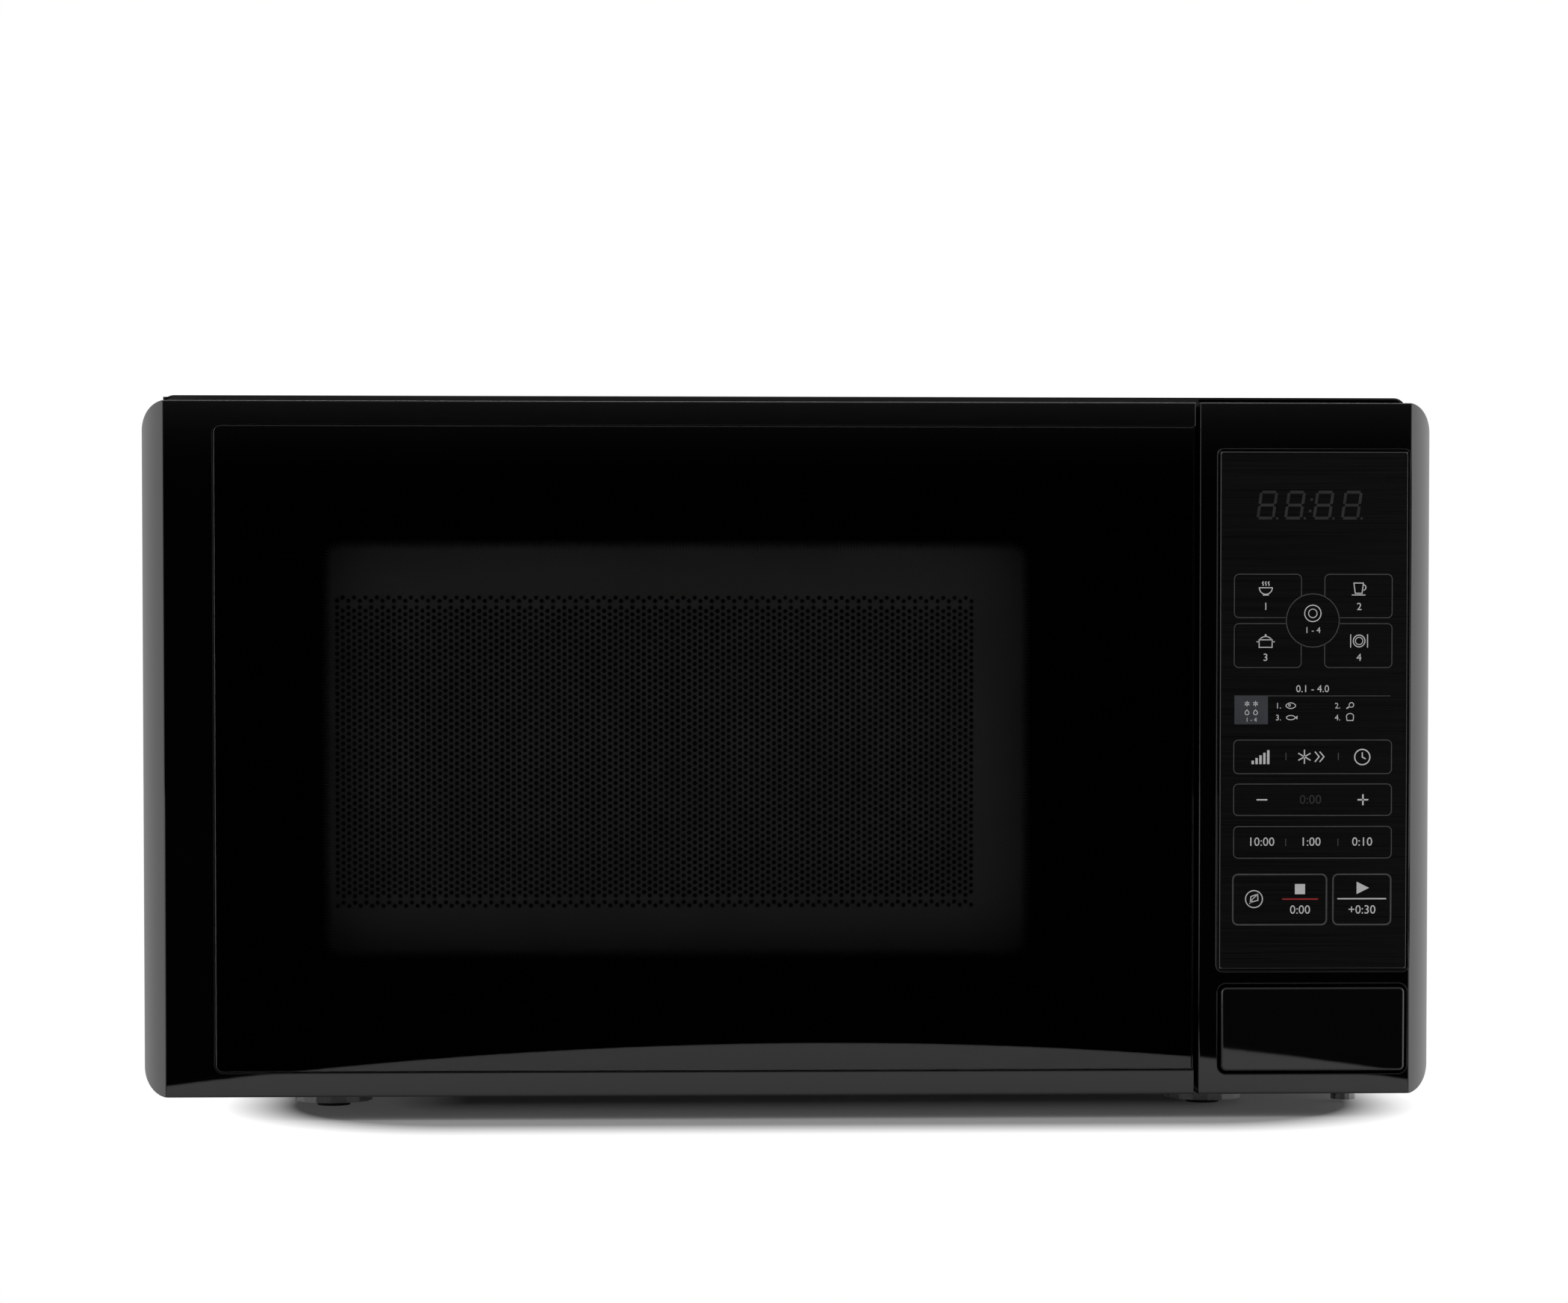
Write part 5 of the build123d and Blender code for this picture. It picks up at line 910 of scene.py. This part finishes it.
# %% White signs
signs = bowl(167.4, 187.0, 2.3, 0.34) + cup(200.5, 187.0, 2.4, 0.34)
signs += pot(167.4, 168.0, 2.3, 0.34) + plate(200.5, 168.3, 2.6, 0.34)
signs += numbers("1", 167.4, 180.3, 2.6) + numbers("2", 200.5, 180.3, 2.6)
signs += numbers("3", 167.4, 162.4, 2.6) + numbers("4", 200.5, 162.4, 2.6)
signs += ring(184.07, 178.0, 2.9, 0.34) + ring(184.07, 178.0, 1.5, 0.3)
signs += numbers("1 - 4", 184.07, 172.0, 2.1)
signs += numbers("0.1 - 4.0", 184.1, 151.35, 2.5)
for x in (160.9, 163.9):
    signs += snowflake(x, 146.2, 0.95, 0.3) + drop(x, 143.0, 0.7, 0.28)
signs += numbers("1 - 4", 162.4, 140.5, 1.5)
for text, x, z, picture in (("1", 172.0, 145.4, steak), ("2", 193.0, 145.4, drumstick),
                            ("3", 172.0, 141.2, fish), ("4", 193.0, 141.2, loaf)):
    signs += numbers(text + ".", x, z, 2.0) + picture(x + 4.4, z + 0.1, 1.35, 0.28)
signs += power_bars(166.0, 127.4, 2.5)
signs += snowflake(181.3, 127.5, 2.5, 0.42)
for shift in (0.0, 1.7):
    signs += ribbon([(185.0 + shift, 129.3), (186.5 + shift, 127.5), (185.0 + shift, 125.7)], 0.42)
signs += clock(201.8, 127.4, 2.7, 0.42)
signs += bar(164.4, 112.1, 168.2, 112.6)
signs += bar(200.2, 112.05, 204.0, 112.6) + bar(201.82, 110.4, 202.38, 114.25)
for text, x in (("10:00", 166.1), ("1:00", 183.6), ("0:10", 201.9)):
    signs += numbers(text, x, 97.4, 3.0)
signs += bar(178.1, 79.0, 181.7, 82.6) + numbers("0:00", 179.95, 73.4, 3.0)
signs += [[(200.0, 79.0), (204.4, 81.2), (200.0, 83.4)]] + bar(193.2, 77.15, 210.5, 77.6)
signs += numbers("+0:30", 201.9, 73.4, 3.0)
signs += ring(163.6, 77.3, 3.0, 0.36) + ribbon([(162.0, 75.6), (163.2, 77.4), (164.9, 79.0)], 0.3)
signs += ribbon([(162.3, 76.1), (162.5, 78.2), (164.9, 79.0), (165.0, 76.9)], 0.36, closed=True)
white_print = grained("white_key_print", grey(0.70), grey(0.80), gloss=(0.4, 0.5), **PRINT)
add_print("white_signs", signs, white_print)
red_print = grained("red_key_print", (0.42, 0.017, 0.02), (0.50, 0.025, 0.028),
                    gloss=(0.4, 0.5), **PRINT)
add_print("red_line", bar(173.6, 77.05, 186.3, 77.5), red_print)
tile_print = grained("blue_grey_tile", (0.042, 0.045, 0.053), (0.050, 0.055, 0.064),
                     gloss=(0.4, 0.5), **PRINT)
add_print("defrost_tile", bar(156.45, 138.95, 168.3, 148.8), tile_print, 0.5)
faint_print = grained("faint_print", grey(0.020), grey(0.025), gloss=(0.4, 0.5), **PRINT)
add_print("faint_number", numbers("0:00", 183.5, 112.3, 3.2), faint_print)
print(len(signs), "sign faces")

# %% [markdown]
# ## The dark display
# The display at the top of the film isn't lit, and its numerals still show as slightly
# paler bars. Four numerals of seven leaning bars are enough, in a faint ink rather than as
# a light.

# %% The dark display
def seven_segments(left, low, width, height, lean=0.14, gap=0.28, thick=1.0):
    """The seven bars of one numeral that isn't lit, leaning to the right."""
    middle = low + height / 2
    right, high = left + width, low + height
    shapes = []
    for z in (low + thick / 2, middle, high - thick / 2):
        shapes += ribbon([(left + gap + 0.5, z), (right - gap - 0.5, z)], thick)
    for x in (left + thick / 2, right - thick / 2):
        shapes += ribbon([(x, low + gap + 0.5), (x, middle - gap - 0.2)], thick)
        shapes += ribbon([(x, middle + gap + 0.2), (x, high - gap - 0.5)], thick)
    return [[(p[0] + lean * (p[1] - low), p[1]) for p in shape] for shape in shapes]


display = []
for left in (163.9, 173.7, 183.8, 193.8):
    display += seven_segments(left, 211.0, 6.4, 10.1) + disc(left + 7.4, 211.4, 0.45)
display += disc(183.0, 214.0, 0.5) + disc(183.5, 218.0, 0.5)
ghost_print = grained("unlit_segments", grey(0.025), grey(0.031), gloss=(0.3, 0.4), **PRINT)
add_print("unlit_numerals", display, ghost_print)
print(len(display), "display faces")

# %% [markdown]
# ## Cabinet sheet metal
# The cover and the front plate are steel with a fine black powder coat. The base, the back
# and the brackets are bare galvanised sheet, whose zinc sets in pale leaf-like crystals
# just under a centimetre across. A cell texture gives each crystal its own shade and
# gloss. The base's zinc is painted darker, a painted shade for its place in shadow close to the
# table.

# %% Powder coat and zinc
CRYSTALS_PER_METRE = 130.0


def galvanised(name, dark, light):
    finish, tree, shader = new_finish(name)
    cells = add_node(tree, "TexVoronoi", {"Vector": place(tree), "Scale": CRYSTALS_PER_METRE})
    leaf = add_node(tree, "SeparateColor", {0: cells.outputs["Color"]}).outputs[0]
    both = calc(tree, "ADD", leaf, spread(tree, noise(tree, 700, 3.0), -0.2, 0.2))
    tree.links.new(ramp(tree, both, (0.0, dark), (1.0, light)), shader.inputs["Base Color"])
    tree.links.new(spread(tree, both, 0.40, 0.48, 0.0, 1.0), shader.inputs["Roughness"])
    add_bump(tree, shader, both, 4 * MICRON)
    set_sockets(shader, {"Metallic": 1.0})
    return finish


powder_coat = grained("black_powder_coat", grey(0.010), grey(0.016), gloss=(0.36, 0.46),
                      patches=12, grain=1900, depth=30 * MICRON)
dress(powder_coat, "outer_cover", "front_plate")
# Painted shade: the base plate's zinc is darker than the other zinc because it lies in shadow near
# the table.
shade_darkened_zinc = galvanised("shade_darkened_zinc", (0.22, 0.225, 0.225), (0.31, 0.315, 0.31))
dress(shade_darkened_zinc, "base_plate")
zinc = galvanised("galvanised_sheet", (0.42, 0.425, 0.43), grey(0.58))
dress(zinc, "back_plate", "waveguide", "lower_hinge_plate", "upper_hinge_plate",
      "magnetron_yoke", "magnetron_filter_box", "capacitor_clamp", "fan_motor", "turntable_motor")

# %% [markdown]
# ## The oven inside
# The cavity is pale enamel with a hint of speckle. The mica cover over the wave opening
# is pressed from flakes, and the tray is thick clear glass with a slight green in it.
# Enamel and plastic take the grain recipe, and cells of uneven shade make the flakes.

# %% Enamel, mica and tray glass
def mica_sheet():
    finish, tree, shader = new_finish("mica_sheet")
    flakes = add_node(tree, "TexVoronoi", {"Vector": place(tree), "Scale": 420.0})
    shade = add_node(tree, "SeparateColor", {0: flakes.outputs["Color"]}).outputs[1]
    tint = ramp(tree, shade, (0.0, (0.30, 0.24, 0.17)), (1.0, (0.52, 0.45, 0.35)))
    tree.links.new(tint, shader.inputs["Base Color"])
    tree.links.new(spread(tree, shade, 0.22, 0.5, 0.0, 1.0), shader.inputs["Roughness"])
    add_bump(tree, shader, shade, 20 * MICRON)
    return finish


def tray_glass():
    finish, tree, shader = new_finish("tray_glass")
    tree.links.new(spread(tree, noise(tree, 20), 0.0, 0.04), shader.inputs["Roughness"])
    tint = ramp(tree, noise(tree, 5), (0.3, (0.90, 0.96, 0.93)), (0.7, (0.94, 0.98, 0.96)))
    tree.links.new(tint, shader.inputs["Base Color"])
    set_sockets(shader, {"Transmission Weight": 1.0, "IOR": 1.5})
    return finish


enamel = grained("pale_cavity_enamel", (0.50, 0.50, 0.48), (0.56, 0.56, 0.54), gloss=(0.28, 0.4),
                 patches=15, grain=900, depth=10 * MICRON)
dress(enamel, "oven_cavity")
dress(mica_sheet(), "waveguide_cover")
dress(tray_glass(), "glass_tray", "oven_lamp")
pale_plastic = grained("pale_moulded_plastic", (0.62, 0.60, 0.55), (0.70, 0.68, 0.63),
                       gloss=(0.35, 0.5), patches=30, grain=900, depth=10 * MICRON)
dress(pale_plastic, "turntable_coupler", "roller_ring", "roller_1", "roller_2", "roller_3",
      "lamp_holder", "door_switches", "fan_blade")

# %% [markdown]
# ## Power parts and fittings
# These hide behind the cover, and still have their own finishes: varnished laminations,
# enamelled copper wire, pressed aluminium fins, circuit boards and rubber. Bands across one
# axis stand for sheets and turns of wire, which cost far less than a mesh of each.

# %% Wound and stacked metal
FULL_TURN = 6.2832


def banded(name, dark, light, axis, per_metre, gloss, depth, **sockets):
    """A finish with even bands across one axis, for laminations and layers of wire."""
    finish, tree, shader = new_finish(name)
    settings = {"Vector": place(tree), "Scale": per_metre / FULL_TURN, "Distortion": 0.15}
    bands = add_node(tree, "TexWave", settings, bands_direction=axis).outputs["Fac"]
    tree.links.new(ramp(tree, bands, (0.0, dark), (1.0, light)), shader.inputs["Base Color"])
    tree.links.new(spread(tree, noise(tree, 60), *gloss), shader.inputs["Roughness"])
    add_bump(tree, shader, bands, depth)
    set_sockets(shader, {key.replace("_", " "): value for key, value in sockets.items()})
    return finish


laminations = banded("varnished_laminations", (0.045, 0.03, 0.022), (0.10, 0.075, 0.06), axis="X",
                     per_metre=2000, gloss=(0.4, 0.55), depth=80 * MICRON, Metallic=0.6)
dress(laminations, "transformer_core")
copper = banded("enamelled_copper", (0.16, 0.045, 0.02), (0.42, 0.15, 0.07), axis="X",
                per_metre=1400, gloss=(0.25, 0.4), depth=200 * MICRON, Metallic=0.8)
dress(copper, "transformer_windings")
wire = banded("spring_wire", grey(0.25), grey(0.55), axis="Z",
              per_metre=1500, gloss=(0.25, 0.4), depth=300 * MICRON, Metallic=1.0)
dress(wire, "latch_spring", "lever_spring")
brushed = grained("brushed_aluminium", grey(0.60), grey(0.74), gloss=(0.25, 0.42), patches=60,
                  grain=900, depth=6 * MICRON, stretch=(1, 0.05, 1), Metallic=1.0)
dress(brushed, "magnetron_fins", "magnetron_core", "capacitor")
bright_steel = grained("bright_steel", (0.52, 0.52, 0.51), (0.64, 0.63, 0.62), gloss=(0.2, 0.35),
                       patches=80, grain=1200, depth=4 * MICRON, Metallic=1.0)
dress(bright_steel, "fan_shaft", "drive_shaft", "lower_hinge_pin", "upper_hinge_pin",
      "cover_screws")

# %% Boards, resin and rubber
def circuit_board():
    finish, tree, shader = new_finish("circuit_board")
    settings = {"Vector": place(tree), "Scale": 260.0, "Mortar Size": 0.09, "Brick Width": 0.9,
                "Color1": (0.05, 0.11, 0.05, 1), "Color2": (0.035, 0.085, 0.04, 1),
                "Mortar": (0.14, 0.17, 0.07, 1)}
    tracks = add_node(tree, "TexBrick", settings)
    tree.links.new(tracks.outputs["Color"], shader.inputs["Base Color"])
    tree.links.new(spread(tree, noise(tree, 200), 0.3, 0.45), shader.inputs["Roughness"])
    add_bump(tree, shader, tracks.outputs["Fac"], 30 * MICRON)
    return finish


def mixed_components():
    finish, tree, shader = new_finish("board_components")
    island = add_node(tree, "NewGeometry").outputs["Random Per Island"]
    tint = ramp(tree, island, (0.0, grey(0.02)), (0.35, (0.05, 0.06, 0.09)),
                (0.6, (0.35, 0.30, 0.06)), (0.85, grey(0.4)))
    tree.links.new(tint, shader.inputs["Base Color"])
    tree.links.new(spread(tree, noise(tree, 300), 0.3, 0.5), shader.inputs["Roughness"])
    add_bump(tree, shader, noise(tree, 900), 20 * MICRON)
    return finish


dress(circuit_board(), "control_board", "filter_board")
dress(mixed_components(), "board_components")
resin = grained("dark_resin", grey(0.014), grey(0.024), gloss=(0.4, 0.55),
                patches=40, grain=1200, depth=20 * MICRON)
dress(resin, "high_voltage_diode", "thermal_cutouts", "display_module", "fan_shroud", "cord_gland")
key_sheet = grained("keypad_sheet", (0.10, 0.105, 0.11), (0.14, 0.145, 0.15), gloss=(0.45, 0.55),
                    patches=40, grain=800, depth=10 * MICRON)
dress(key_sheet, "keypad_membrane")
rubber = grained("black_rubber", grey(0.016), grey(0.028), gloss=(0.7, 0.85),
                 patches=50, grain=1500, depth=40 * MICRON)
dress(rubber, "feet")
left_plain = sorted(set(solids) - dressed)
print("solids without a finish:", left_plain)
